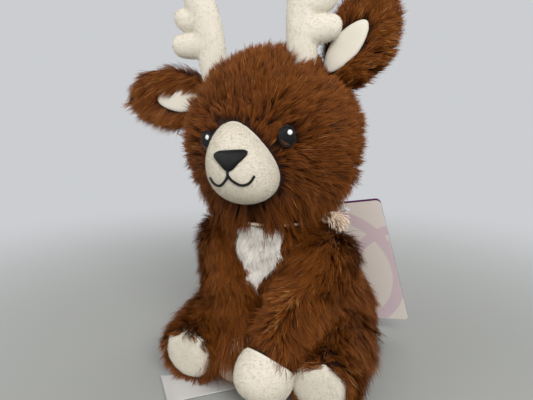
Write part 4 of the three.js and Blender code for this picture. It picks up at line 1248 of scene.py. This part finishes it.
class DEER_OT_ears(Maker, bpy.types.Operator):
    """Ears with long pile on the back and rim, and velour linings"""
    bl_idname = "deer.ears"
    bl_label = "Ears"

    def make(self, scene):
        for number, side in enumerate(SIDES):
            form, body = EAR_FORM[side], f"ear_{side}"
            rings = skin_of(form, -1.5 * MM, around=48, along=40)
            padded_skin(f"ear_skin_{side}", body, "brown_pile", rings, replaced=(body,))
            self.make_lining(side)
            tip = ear_place(side, np.array([[0, 0, EAR_LENGTH[side]]]))[0]
            root = joint_place(f"ear_{side}_flap")
            along = unit(tip - root)
            forward = -HEAD_BACKWARD
            across = unit(ear_place(side, np.array([[1 * MM, 0, 0]]))[0] - root)

            def lining_share(points):
                """How far points lie from the lining's middle, where 1 is on its rim."""
                away = points - root
                far = (away @ along - LINING_MIDDLE) / (0.5 * LINING_LENGTH)
                wide = 0.5 * LINING_WIDTH * (1 - 0.15 * np.minimum(np.abs(far), 1))
                leaned = LINING_ASIDE[side] + LINING_LEAN[side] * far * 0.5 * LINING_LENGTH
                return np.hypot(far, (away @ across - leaned) / wide)

            def seen_share(points):
                """How far points lie from the middle of what the pile leaves bare of the lining."""
                if side == "left":
                    return lining_share(points)
                away = points - root
                places = (away @ along - BARE_MIDDLE[0], away @ across - BARE_MIDDLE[1])
                return np.hypot(*(place / half for place, half in zip(places, BARE_HALF)))

            def keep(points, normals):
                fronted = normals @ forward > 0.1
                return ~(fronted & (lining_share(points) < 1.02)) & off_head(points, 2 * MM)

            def clear(start, bend, end):
                return ~(((end - root) @ forward > 2 * MM) & (seen_share(end) < (1.04 if side == "left" else 0.95)))

            def flow(points, normals):
                away = points - root
                outward = across * (away @ across)[:, None] / EAR_HALF_WIDTH
                fall = 0.25 if side == "left" else 0.75
                way = 0.9 * along + (1.2 - fall) * outward + fall * DOWN
                fronted = normals @ forward
                rise = 0.32 + 0.16 * np.clip(-fronted, 0, 1)
                length = scene.deer_pile.ear_length * (0.82 + 0.18 * np.clip(-fronted, 0, 1))
                length = length * (1.0 if side == "left" else 1.25)
                return np.broadcast_to(way, points.shape), rise, length, np.full(len(points), 0.22)

            grow(f"ear_pile_{side}", body, form, 13000, flow, keep, clear, seed=31 + number, depth=1 * MM)

    def make_lining(self, side):
        """A padded oval on the ear's front: rings that shrink to its middle and rise off the ear."""
        angle = full_turn(64)
        shares = np.array([1.0, 1.02, 1.0, 0.94, 0.84, 0.7, 0.52, 0.32, 0.12])
        lifts = np.array([-0.6, 0.3, 1.0, 1.6, 2.0, 2.2, 2.3, 2.35, 2.35]) * MM
        z = 0.5 * LINING_LENGTH * np.sin(angle)
        x = 0.5 * LINING_WIDTH * np.cos(angle) * (1 - 0.3 * np.abs(z) / LINING_LENGTH)
        ring_x = LINING_ASIDE[side] + shares[:, None] * (x + LINING_LEAN[side] * z)
        ring_z = LINING_MIDDLE + shares[:, None] * z
        wide, thick = (np.interp(ring_z / EAR_LENGTH[side], EAR_ROWS[:, 0], EAR_ROWS[:, i]) for i in (1, 2))
        across = np.clip(ring_x / (wide * EAR_HALF_WIDTH), -0.97, 0.97)
        front = -np.sqrt(1 - across**2) * thick * EAR_HALF_THICKNESS - EAR_CUP * (wide * across) ** 2
        rings = ear_place(side, np.stack([ring_x, front - lifts[:, None], ring_z], axis=-1))
        rings = rings[:, :: -ACROSS[side]]
        padded_skin(f"ear_lining_velour_{side}", f"ear_{side}", "cream_velour", rings,
                    replaced=(f"ear_lining_{side}",))


class DEER_OT_antlers(Maker, bpy.types.Operator):
    """Stuffed velour antlers, each a stem with two tines"""
    bl_idname = "deer.antlers"
    bl_label = "Antlers"

    def make(self, scene):
        finish = finishes()
        for number, side in enumerate(SIDES):
            piece = self.make_antler(side, finish)
            self.make_nap(piece.data, side, seed=41 + number)

    def make_antler(self, side, finish):
        """A leaning stem and rounded tines as closed skins, joined by a remesh and smoothed."""
        place = joint_place(f"antler_{side}_flex")

        def seat(points):
            return place + (points * [ACROSS[side], ANTLER_FLAT, 1]) @ HEAD_TURN.T

        v, u = np.meshgrid(np.linspace(0.02, 0.985, 44), full_turn(36), indexing="ij")
        row = smooth_rows(STEM_ROWS, v)
        girth = np.maximum(row[..., 1], 0.02) * ANTLER_RADIUS
        across = np.cos(u) * girth + row[..., 2] * ANTLER_LEAN
        parts = [seat(np.stack([across, np.sin(u) * girth, row[..., 0] * ANTLER_HEIGHT], axis=-1))]
        for height, reach, rise in TINES[side]:
            length = TINE_REACH * reach
            v, u = np.meshgrid(np.linspace(0.01, 0.99, 40), full_turn(28), indexing="ij")
            along = length * (0.5 - 0.5 * np.cos(math.pi * v)) * 1.02
            past = np.clip((along - (length - TINE_RADIUS)) / TINE_RADIUS, 0, 1)
            round_end = np.sqrt(np.maximum(1 - past**2, 0.0004))
            radius = TINE_RADIUS * round_end * (1.02 + 0.35 * (1 - np.clip(along / length, 0, 1)) ** 2)
            bend = TINE_REACH * rise * (0.5 + 1.0 * (along / length) ** 2)
            tine = np.stack([
                along + 0.5 * MM, np.sin(u) * radius, ANTLER_HEIGHT * height + bend + np.cos(u) * radius,
            ], axis=-1)
            parts.append(seat(tine))
        points, faces = joined(parts)
        mesh = mesh_of(f"antler_{side}", points, faces)
        piece = finish_piece(f"antler_velour_{side}", mesh, f"antler_{side}", finish.velour)
        remesh = piece.modifiers.new("join", "REMESH")
        remesh.mode = "VOXEL"
        remesh.voxel_size = ANTLER_VOXEL
        smooth = piece.modifiers.new("soften", "SMOOTH")
        smooth.factor = 0.5
        smooth.iterations = ANTLER_SMOOTHING
        graph = bpy.context.evaluated_depsgraph_get()
        done = bpy.data.meshes.new_from_object(piece.evaluated_get(graph))
        piece.modifiers.clear()
        piece.data = done
        done.polygons.foreach_set("use_smooth", np.ones(len(done.polygons), bool))
        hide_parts(f"antler_{side}")
        return piece

    def make_nap(self, mesh, side, seed):
        """Short pile at places spread over the antler's faces by their area."""
        rng = np.random.default_rng(seed)
        count = len(mesh.polygons)
        centres, normals, areas = np.zeros(count * 3), np.zeros(count * 3), np.zeros(count)
        mesh.polygons.foreach_get("center", centres)
        mesh.polygons.foreach_get("normal", normals)
        mesh.polygons.foreach_get("area", areas)
        picks = rng.choice(count, 11000, p=areas / areas.sum())
        out = normals.reshape(-1, 3)[picks]
        points = centres.reshape(-1, 3)[picks] + rng.normal(0, 0.25 * MM, (len(picks), 3))
        lean = unit(out + rng.normal(0, 0.45, out.shape))
        stand(f"antler_nap_{side}", f"antler_{side}", points - 0.4 * MM * out, out, lean, length=1.3 * MM,
              width=0.32 * MM, rng=rng)


def bib_half(share):
    """Half the bib's width at shares of its height."""
    return np.interp(share, BIB_ROWS[:, 1], BIB_ROWS[:, 0]) * BIB_WIDTH


def bib_half_width(high):
    """Half the bib's width at each height, and nought outside it."""
    up = (high - BIB_FOOT) / BIB_LENGTH
    return np.where((up > 0) & (up < 1.12), bib_half(up), 0)


def bib_middle(high):
    """Where the bib's middle lies across at each height: it leans as it falls."""
    return NECK_PLACE[0] + BIB_ASIDE + BIB_LEAN * (high - BIB_TOP)


class DEER_OT_body(Maker, bpy.types.Operator):
    """Padded body, its long pile, and the pale bib on its chest"""
    bl_idname = "deer.body"
    bl_label = "Body"

    def make(self, scene):
        rings = skin_of(body_form, -BACKING_DEPTH, around=72, along=60)
        padded_skin("body_skin", "body", "brown_pile", rings,
                    replaced=("body_cover", "body_filling", "pellet_pouch"))

        def in_bib(points, slack):
            far = np.abs(points[:, 0] - bib_middle(points[:, 2]))
            return (points[:, 1] < 0) & (far < bib_half_width(points[:, 2]) - slack)

        def keep(points, normals):
            free = off_head(points, 2 * MM) & (distance(points, TAIL_ROOT) > 8 * MM)
            for side in SIDES:
                free &= (arm_gap(points, side) > -4 * MM) & (leg_gap(points, side) > -5 * MM)
            return free & ~in_bib(points, 1 * MM) & (normals[:, 2] > -0.97)

        def clear(root, middle, tip):
            bare = ~in_bib(tip, (8 + 2.5 * waves(root, 12 * MM, 57)[:, 0]) * MM)
            return bare & off_head(tip, 6 * MM)

        def flow(points, normals):
            outward = unit(points * [1, 1, 0])
            way = DOWN + 0.25 * outward
            under = blend_between(-normals[:, 2], 0.5, 0.95)
            way = way * (1 - under[:, None]) + outward * under[:, None]
            rise = 0.5 - 0.3 * under
            length = scene.deer_pile.body_length * (1 - 0.5 * under)
            shade = -0.06 + 0.06 * blend_between(points[:, 2], 10 * MM, 80 * MM)
            return way, rise, length, shade

        grow_halves("body", body_form, (36000, 36000), flow, keep, clear, seed=51,
                    behind=lambda points: points[:, 1] >= 12 * MM)
        self.make_bib()

    def make_bib(self):
        """A thin padded patch on the chest, and pale pile that runs down it."""

        def place(x, v, extra, least):
            """Places on the patch at shares across and up it, which is never narrower than a least half width."""
            high = BIB_FOOT + v * BIB_LENGTH
            return body_front(bib_middle(high) + x * np.maximum(bib_half(v), least), high, extra)

        v, x = np.meshgrid(np.linspace(0, 1, 30), np.linspace(-1, 1, 20), indexing="ij")
        front, behind = (place(x, v, extra, 0.3 * MM) for extra in (-2.5 * MM, -6.6 * MM))
        rings = np.concatenate([front, behind[:, ::-1]], axis=1)
        padded_skin("bib_patch", "body", "white_pile", rings, replaced=("chest_bib",))

        def form(u, v, extra):
            return place(-np.cos(u / 2), v, extra, 0.2 * MM)

        def keep(points, normals):
            half = bib_half_width(points[..., 2]) - 2 * MM
            free = off_head(points, 3 * MM) & (np.abs(points[..., 0] - bib_middle(points[..., 2])) < half)
            for side in SIDES:
                free &= arm_gap(points, side) > -3 * MM
            return free

        def flow(points, normals):
            way = np.array([-0.05, 0, -1.0]) + np.zeros(points.shape)
            # The bib is greyer towards its top under the chin and whiter below: partly the pile's tone, partly painted
            # shade.
            share = (points[:, 2] - BIB_FOOT) / BIB_LENGTH
            return way, np.full(len(points), FLAT_RISE), np.full(len(points), BIB_PILE), 0.5 - 0.45 * share

        grow("bib_pile", "body", form, 7000, flow, keep, anywhere, seed=55, depth=3 * MM, tuft=6,
             slot_name="white_pile")


class DEER_OT_arms(Maker, bpy.types.Operator):
    """Arms with long pile, and velour paws"""
    bl_idname = "deer.arms"
    bl_label = "Arms"

    def make(self, scene):
        for number, side in enumerate(SIDES):
            body, start, heading = f"arm_{side}", SHOULDER[side], ARM_HEADING[side]
            rings = skin_of(ARM_FORM[side], -BACKING_DEPTH, around=48, along=44, low=0.05, high=1.0)
            padded_skin(f"arm_skin_{side}", body, "brown_pile", rings,
                        replaced=(body, f"arm_filling_{side}"))
            paw = turned_form(start, heading, paw_line())
            rings = skin_of(paw, 0, around=72, along=48, low=0.0, high=0.998)
            padded_skin(f"paw_velour_{side}", body, "cream_velour", rings, replaced=(f"paw_{side}",))

            def along_arm(points):
                return (points - start) @ heading

            nap(f"paw_nap_{side}", body, paw, count=14000,
                keep=lambda points, normals: along_arm(points) > ARM_LENGTH + 2 * MM, seed=61 + number)

            def keep(points, normals):
                free = (body_share(points) > 0.86) & (along_arm(points) < ARM_LENGTH - 0.5 * MM)
                return free & off_head(points, 3 * MM)

            def over_paw(points):
                """How far strands may lie over the paw: further over the left one's upper outer edge."""
                if side == "right":
                    return 40 * MM
                return (1.5 + 9 * self.upper_edge(unit(off_line(points, start, heading)))) * MM

            def clear(root, middle, tip):
                return off_head(tip, 6 * MM) & (along_arm(tip) < ARM_LENGTH + over_paw(tip))

            def flow(points, normals):
                way = np.broadcast_to(heading, points.shape) * 1.0
                painted_sparkle = np.zeros(len(points))
                if side == "left":
                    push, painted_sparkle = self.parting(points, normals)
                    way = 0.55 * way + push
                cuff = blend_between(along_arm(points) / ARM_LENGTH, 0.72, 1.0)
                way = unit(way) + 1.2 * cuff[:, None] * heading
                outer = blend_between(normals[:, 0] * ACROSS[side], 0.2, 0.8) * (1 - cuff)
                rise = 0.52 - 0.24 * cuff + 0.45 * painted_sparkle + 0.3 * outer
                longer = np.full(len(points), 1.15) if side == "right" else 0.4 * self.upper_edge(normals) - 0.2
                length = scene.deer_pile.arm_length * (1 + longer * cuff - 0.25 * painted_sparkle)
                # Strands along the parting get a brighter shade: a painted glint.
                return way, rise, length, 0.62 * painted_sparkle - 0.03

            grow(f"arm_pile_{side}", body, ARM_FORM[side], 30000, flow, keep, clear, seed=65 + number)

    def upper_edge(self, directions):
        """One where directions point up and out over the left paw, and nought where they don't."""
        return blend_between(directions @ unit([0.75, -0.25, 0.6]), 0.55, 0.95)

    def parting(self, points, normals):
        """The push on the left arm's pile, away from a line and from a whirl, and how strongly strands near the line
        stand up and take a painted glint.
        """
        line = PART_TO - PART_FROM
        below = (points - PART_FROM) @ line / (line @ line)
        away = along_skin(points - (PART_FROM + np.clip(below, 0, 1)[:, None] * line), normals)
        near = np.linalg.norm(away, axis=-1, keepdims=True)
        push = unit(away) * np.exp(-near / PART_REACH) * (1 - np.exp(-((near / PART_CORE) ** 2))) * 2.2
        push *= blend_between(below, -0.5, 0.4)[:, None]
        whirl = points - WHIRL_PLACE
        far = np.linalg.norm(whirl, axis=-1, keepdims=True)
        push += unit(along_skin(whirl, normals)) * np.exp(-far / WHIRL_REACH) * 1.2 * np.minimum(1, far / WHIRL_CORE)
        return push, np.exp(-((near[:, 0] / PAINTED_SPARKLE_REACH) ** 2)) * (normals[:, 1] < 0)


class DEER_OT_legs(Maker, bpy.types.Operator):
    """Legs with long pile, and velour soles"""
    bl_idname = "deer.legs"
    bl_label = "Legs"

    def make(self, scene):
        for number, side in enumerate(SIDES):
            body, start, heading = f"leg_{side}", HIP[side], FOOT_HEADING[side]
            rings = skin_of(LEG_FORM[side], -BACKING_DEPTH, around=48, along=40, low=0.05, high=1.0)
            padded_skin(f"leg_skin_{side}", body, "brown_pile", rings,
                        replaced=(body, f"leg_filling_{side}"))
            line = rounded(SOLE_ROWS) * [0.5, SOLE_THICK] + [0, LEG_LENGTH - SOLE_SUNK]
            turn = turn_to(heading)
            middle = np.array([SOLE_ASIDE[side], -SOLE_DROP[side], 0])

            def sole(u, v, extra):
                radius, along = along_line(line, v)
                wide, high = SOLE_SIZE + 2 * extra
                ring = np.stack([radius * wide * np.cos(u), radius * high * np.sin(u), along], axis=-1)
                return start + (ring + middle) @ turn.T

            rings = skin_of(sole, 0, around=64, along=40, low=0.0, high=0.998)
            padded_skin(f"sole_velour_{side}", body, "cream_velour", rings, replaced=(f"sole_{side}",))
            nap(f"sole_nap_{side}", body, sole, count=9000, keep=anywhere, seed=71 + number)

            def off_sole(points, least):
                """Whether points lie behind the sole, or further out than a share of its width."""
                local = (points - start) @ turn
                away = (local - middle)[..., :2] / SOLE_SIZE
                return (local[..., 2] < LEG_LENGTH - 2 * MM) | (np.hypot(away[..., 0], away[..., 1]) > least)

            def keep(points, normals):
                free = (body_share(points) > 0.88) & off_sole(points, 0.47)
                for other in SIDES:
                    free &= arm_gap(points, other) > -6 * MM
                return free

            def clear(root, middle, tip):
                return off_sole(tip, 0.44)

            def flow(points, normals):
                cuff = blend_between((points - start) @ heading / LEG_LENGTH, 0.5, 1.0)
                outward = unit(off_line(points, start, heading) * [1, 1, 0.3])
                way = 0.7 * heading + 0.45 * DOWN + 0.5 * outward
                aside = blend_between(outward[:, 0] * ACROSS[side], 0.3, 0.9) * (1 - cuff)
                rise = 0.45 + 0.25 * cuff + 0.06 * aside
                length = scene.deer_pile.leg_length * (1 - 0.25 * cuff + 0.25 * aside)
                return way, rise, length, 0.05 + 0.1 * cuff

            grow(f"leg_pile_{side}", body, LEG_FORM[side], 18000, flow, keep, clear, seed=75 + number)


class DEER_OT_tail(Maker, bpy.types.Operator):
    """Short tail with long pile"""
    bl_idname = "deer.tail"
    bl_label = "Tail"

    def make(self, scene):
        rings = skin_of(TAIL_FORM, -5 * MM, around=32, along=30, low=0.02, high=0.98)
        padded_skin("tail_skin", "tail", "brown_pile", rings, replaced=("tail",))

        def flow(points, normals):
            way = np.broadcast_to(TAIL_HEADING, points.shape)
            return way, np.full(len(points), FLAT_RISE), np.full(len(points), TAIL_PILE), np.zeros(len(points))

        grow("tail_pile", "tail", TAIL_FORM, 8000, flow, keep=lambda points, normals: body_share(points) > 0.9,
             clear=anywhere, seed=81, depth=4.5 * MM)


class DEER_OT_cord(Maker, bpy.types.Operator):
    """Twisted cord tied round the neck, its knot and its frayed ends"""
    bl_idname = "deer.cord"
    bl_label = "Neck cord"

    def make(self, scene):
        finish = finishes()
        angle = np.linspace(0, 2 * math.pi, 361) + KNOT_ANGLE
        middle = np.array([HEAD_MIDDLE[0], HEAD_MIDDLE[1], CORD_HEIGHT])
        drawn = CORD_RING - 3 * MM * np.clip(-np.sin(angle) - 0.2 * np.cos(angle), 0, 1)
        ring = middle + np.stack([drawn * np.cos(angle), drawn * np.sin(angle), np.zeros(len(angle))], axis=1)
        plies = ply_paths(ring, -DOWN, plies=2, offset=0.55 * MM, turns=62)
        parts = [tube_rings(ply, -DOWN, radius=0.72 * MM, sides=8) for ply in plies]
        turn = np.linspace(0, 2 * math.pi, 181)
        knot = np.stack([
            np.sin(turn) + 2 * np.sin(2 * turn), np.cos(turn) - 2 * np.cos(2 * turn), -1.3 * np.sin(3 * turn),
        ], axis=1) * KNOT_SCALE
        knot = KNOT_PLACE + knot @ turn_to(unit([0.5, -0.8, 0.33])).T
        out = unit(knot - KNOT_PLACE)
        plies = ply_paths(knot, out, plies=2, offset=0.75 * MM, turns=16)
        parts += [tube_rings(ply, out, radius=0.95 * MM, sides=7) for ply in plies]
        tube_piece("neck_cord_plies", "body", finish.cord, parts, "neck_cord")
        self.make_tassel(finish)

    def make_tassel(self, finish):
        """Loose yarns that leave the knot in a fan, droop with the square of their reach, and wave."""
        rng = np.random.default_rng(91)
        out = np.array([math.cos(KNOT_ANGLE), math.sin(KNOT_ANGLE), 0])
        side = np.array([-out[1], out[0], 0])
        parts = []
        for _ in range(YARN_COUNT):
            spread, lift = rng.normal(-0.2, 0.5), rng.normal(-0.25, 0.5)
            way = unit(out * math.cos(spread) + side * math.sin(spread) + [0, 0, lift])
            reach = rng.uniform(*YARN_REACH) * MM
            share = np.linspace(0, 1, 9)[:, None]
            start = KNOT_PLACE + 4 * MM * out + rng.normal(0, 1.5, 3) * MM
            wave = 0.6 * MM * share * np.sin(share * rng.uniform(5, 11) + rng.uniform(0, 6)) * unit(rng.normal(size=3))
            path = start + reach * share * way + wave + YARN_DROOP * DOWN * share**2
            parts.append(tube_rings(path, side, radius=(YARN_RADIUS * (1 - 0.45 * share))[:, 0], sides=5))
        tube_piece("tassel_yarns", "tassel", finish.cord, parts, "cord_tassel")


class DEER_OT_tag(Maker, bpy.types.Operator):
    """Finish of the hang tag and its string, and the satin care label"""
    bl_idname = "deer.tag"
    bl_label = "Tags"

    def make(self, scene):
        finish, tones = finishes(), scene.deer_tones
        self.dress("hang_tag_front", self.card_material("printed card", tuple(tones.card), tuple(tones.band)))
        back = tuple(tones.card_back)
        self.dress("hang_tag_back", self.card_material("plum card", back, times(back, 1.12)))
        self.dress("tag_string", finish.white)
        self.dress("neck_thread", finish.brown)
        self.make_label(tones)

    def dress(self, node, material):
        """A solid's own object, given a finer material."""
        for slot in frame["nodes"][node].material_slots:
            slot.material = material

    def card_material(self, name, card, band):
        """Coated card with two plain bands, each the part of a large circle's rim in the tag's own plane."""
        material, tree, shader = new_material(name)
        place = add(tree, "ShaderNodeTexCoord").outputs["Object"]
        local = turned_in(tree, place, tuple(TAG_TURN.to_euler("XYZ")), Location=tuple(TAG_HOLE))
        colour = card
        for middle, radius, width in TAG_BANDS:
            away = add(tree, "ShaderNodeVectorMath", {0: local, 1: tuple(np.array(middle) * MM)}, operation="DISTANCE")
            rim = maths(tree, "SUBTRACT", away.outputs["Value"], radius * MM)
            rim = maths(tree, "ABSOLUTE", rim)
            share = share_between(tree, rim, (width + 0.3) * MM, (width - 0.3) * MM)
            colour = mixed(tree, share, colour, band)
        grain = add(tree, "ShaderNodeTexNoise", {"Vector": place, "Scale": 900.0, "Detail": 3.0}).outputs["Fac"]
        emboss(tree, shader, grain, 0.15, 0.1 * MM)
        finish_shader(tree, shader, colour, 0.42)
        return material

    def make_label(self, tones):
        """A satin strip with a small wave along it, two faces and a thin edge."""
        length, width = LABEL_SIZE
        v, u = np.meshgrid(np.linspace(0, 1, 60), np.linspace(-0.5, 0.5, 22), indexing="ij")
        wave = LABEL_WAVE * np.sin(v * 9 + u * 2) * blend_between(v, 0, 0.2)
        curl = LABEL_CURL * (1 - blend_between(v, 0, 0.14)) ** 2 * (0.4 + np.abs(u))
        flat = np.stack([v * length, u * width, LABEL_HEIGHT + LABEL_WAVE + wave + curl], axis=-1)
        cosine, sine = math.cos(LABEL_TURN), math.sin(LABEL_TURN)
        turn = np.array([[cosine, -sine, 0], [sine, cosine, 0], [0, 0, 1]])
        top = flat @ turn.T + [*LABEL_END, 0]
        under = top - [0, 0, LABEL_THICK]
        mesh = mesh_of("label", *closed_grid(np.concatenate([top, under[:, ::-1]], axis=1)[::-1]))
        material, tree, shader = new_material("woven satin")
        place = add(tree, "ShaderNodeTexCoord").outputs["Object"]
        local = turned_in(tree, place, (0, 0, LABEL_TURN))
        warp = add(tree, "ShaderNodeTexWave", {"Vector": local, "Scale": 1400.0}, bands_direction="Y").outputs["Fac"]
        satin = tuple(tones.satin)
        emboss(tree, shader, warp, 0.3, 0.05 * MM)
        finish_shader(tree, shader, mixed(tree, warp, times(satin, 0.9), satin), 0.4, Sheen_Weight=0.3)
        piece = finish_piece("care_label_satin", mesh, "body", material)
        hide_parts("care_label")


STEPS = (
    DEER_OT_stage, DEER_OT_cord, DEER_OT_head, DEER_OT_face, DEER_OT_ears, DEER_OT_antlers, DEER_OT_body,
    DEER_OT_arms, DEER_OT_legs, DEER_OT_tail, DEER_OT_tag,
)
GROUPS = {"deer_pile": DeerPile, "deer_tones": DeerTones, "deer_face": DeerFace, "deer_stage": DeerStage}


class DEER_PT_panel(bpy.types.Panel):
    """Lists the steps that make the deer"""
    bl_label = "Plush Deer"
    bl_idname = "DEER_PT_panel"
    bl_space_type = "VIEW_3D"
    bl_region_type = "UI"
    bl_category = "Deer"

    def draw(self, context):
        for step in STEPS:
            self.layout.operator(step.bl_idname)


KINDS = (*GROUPS.values(), *STEPS, DEER_PT_panel)


def register():
    for kind in KINDS:
        bpy.utils.register_class(kind)
    for name, group in GROUPS.items():
        setattr(bpy.types.Scene, name, PointerProperty(type=group))


def unregister():
    for name in GROUPS:
        delattr(bpy.types.Scene, name)
    for kind in reversed(KINDS):
        bpy.utils.unregister_class(kind)


def main():
    register()
    for step in STEPS:
        group, name = step.bl_idname.split(".")
        getattr(getattr(bpy.ops, group), name)()


if __name__ == "__main__":
    main()
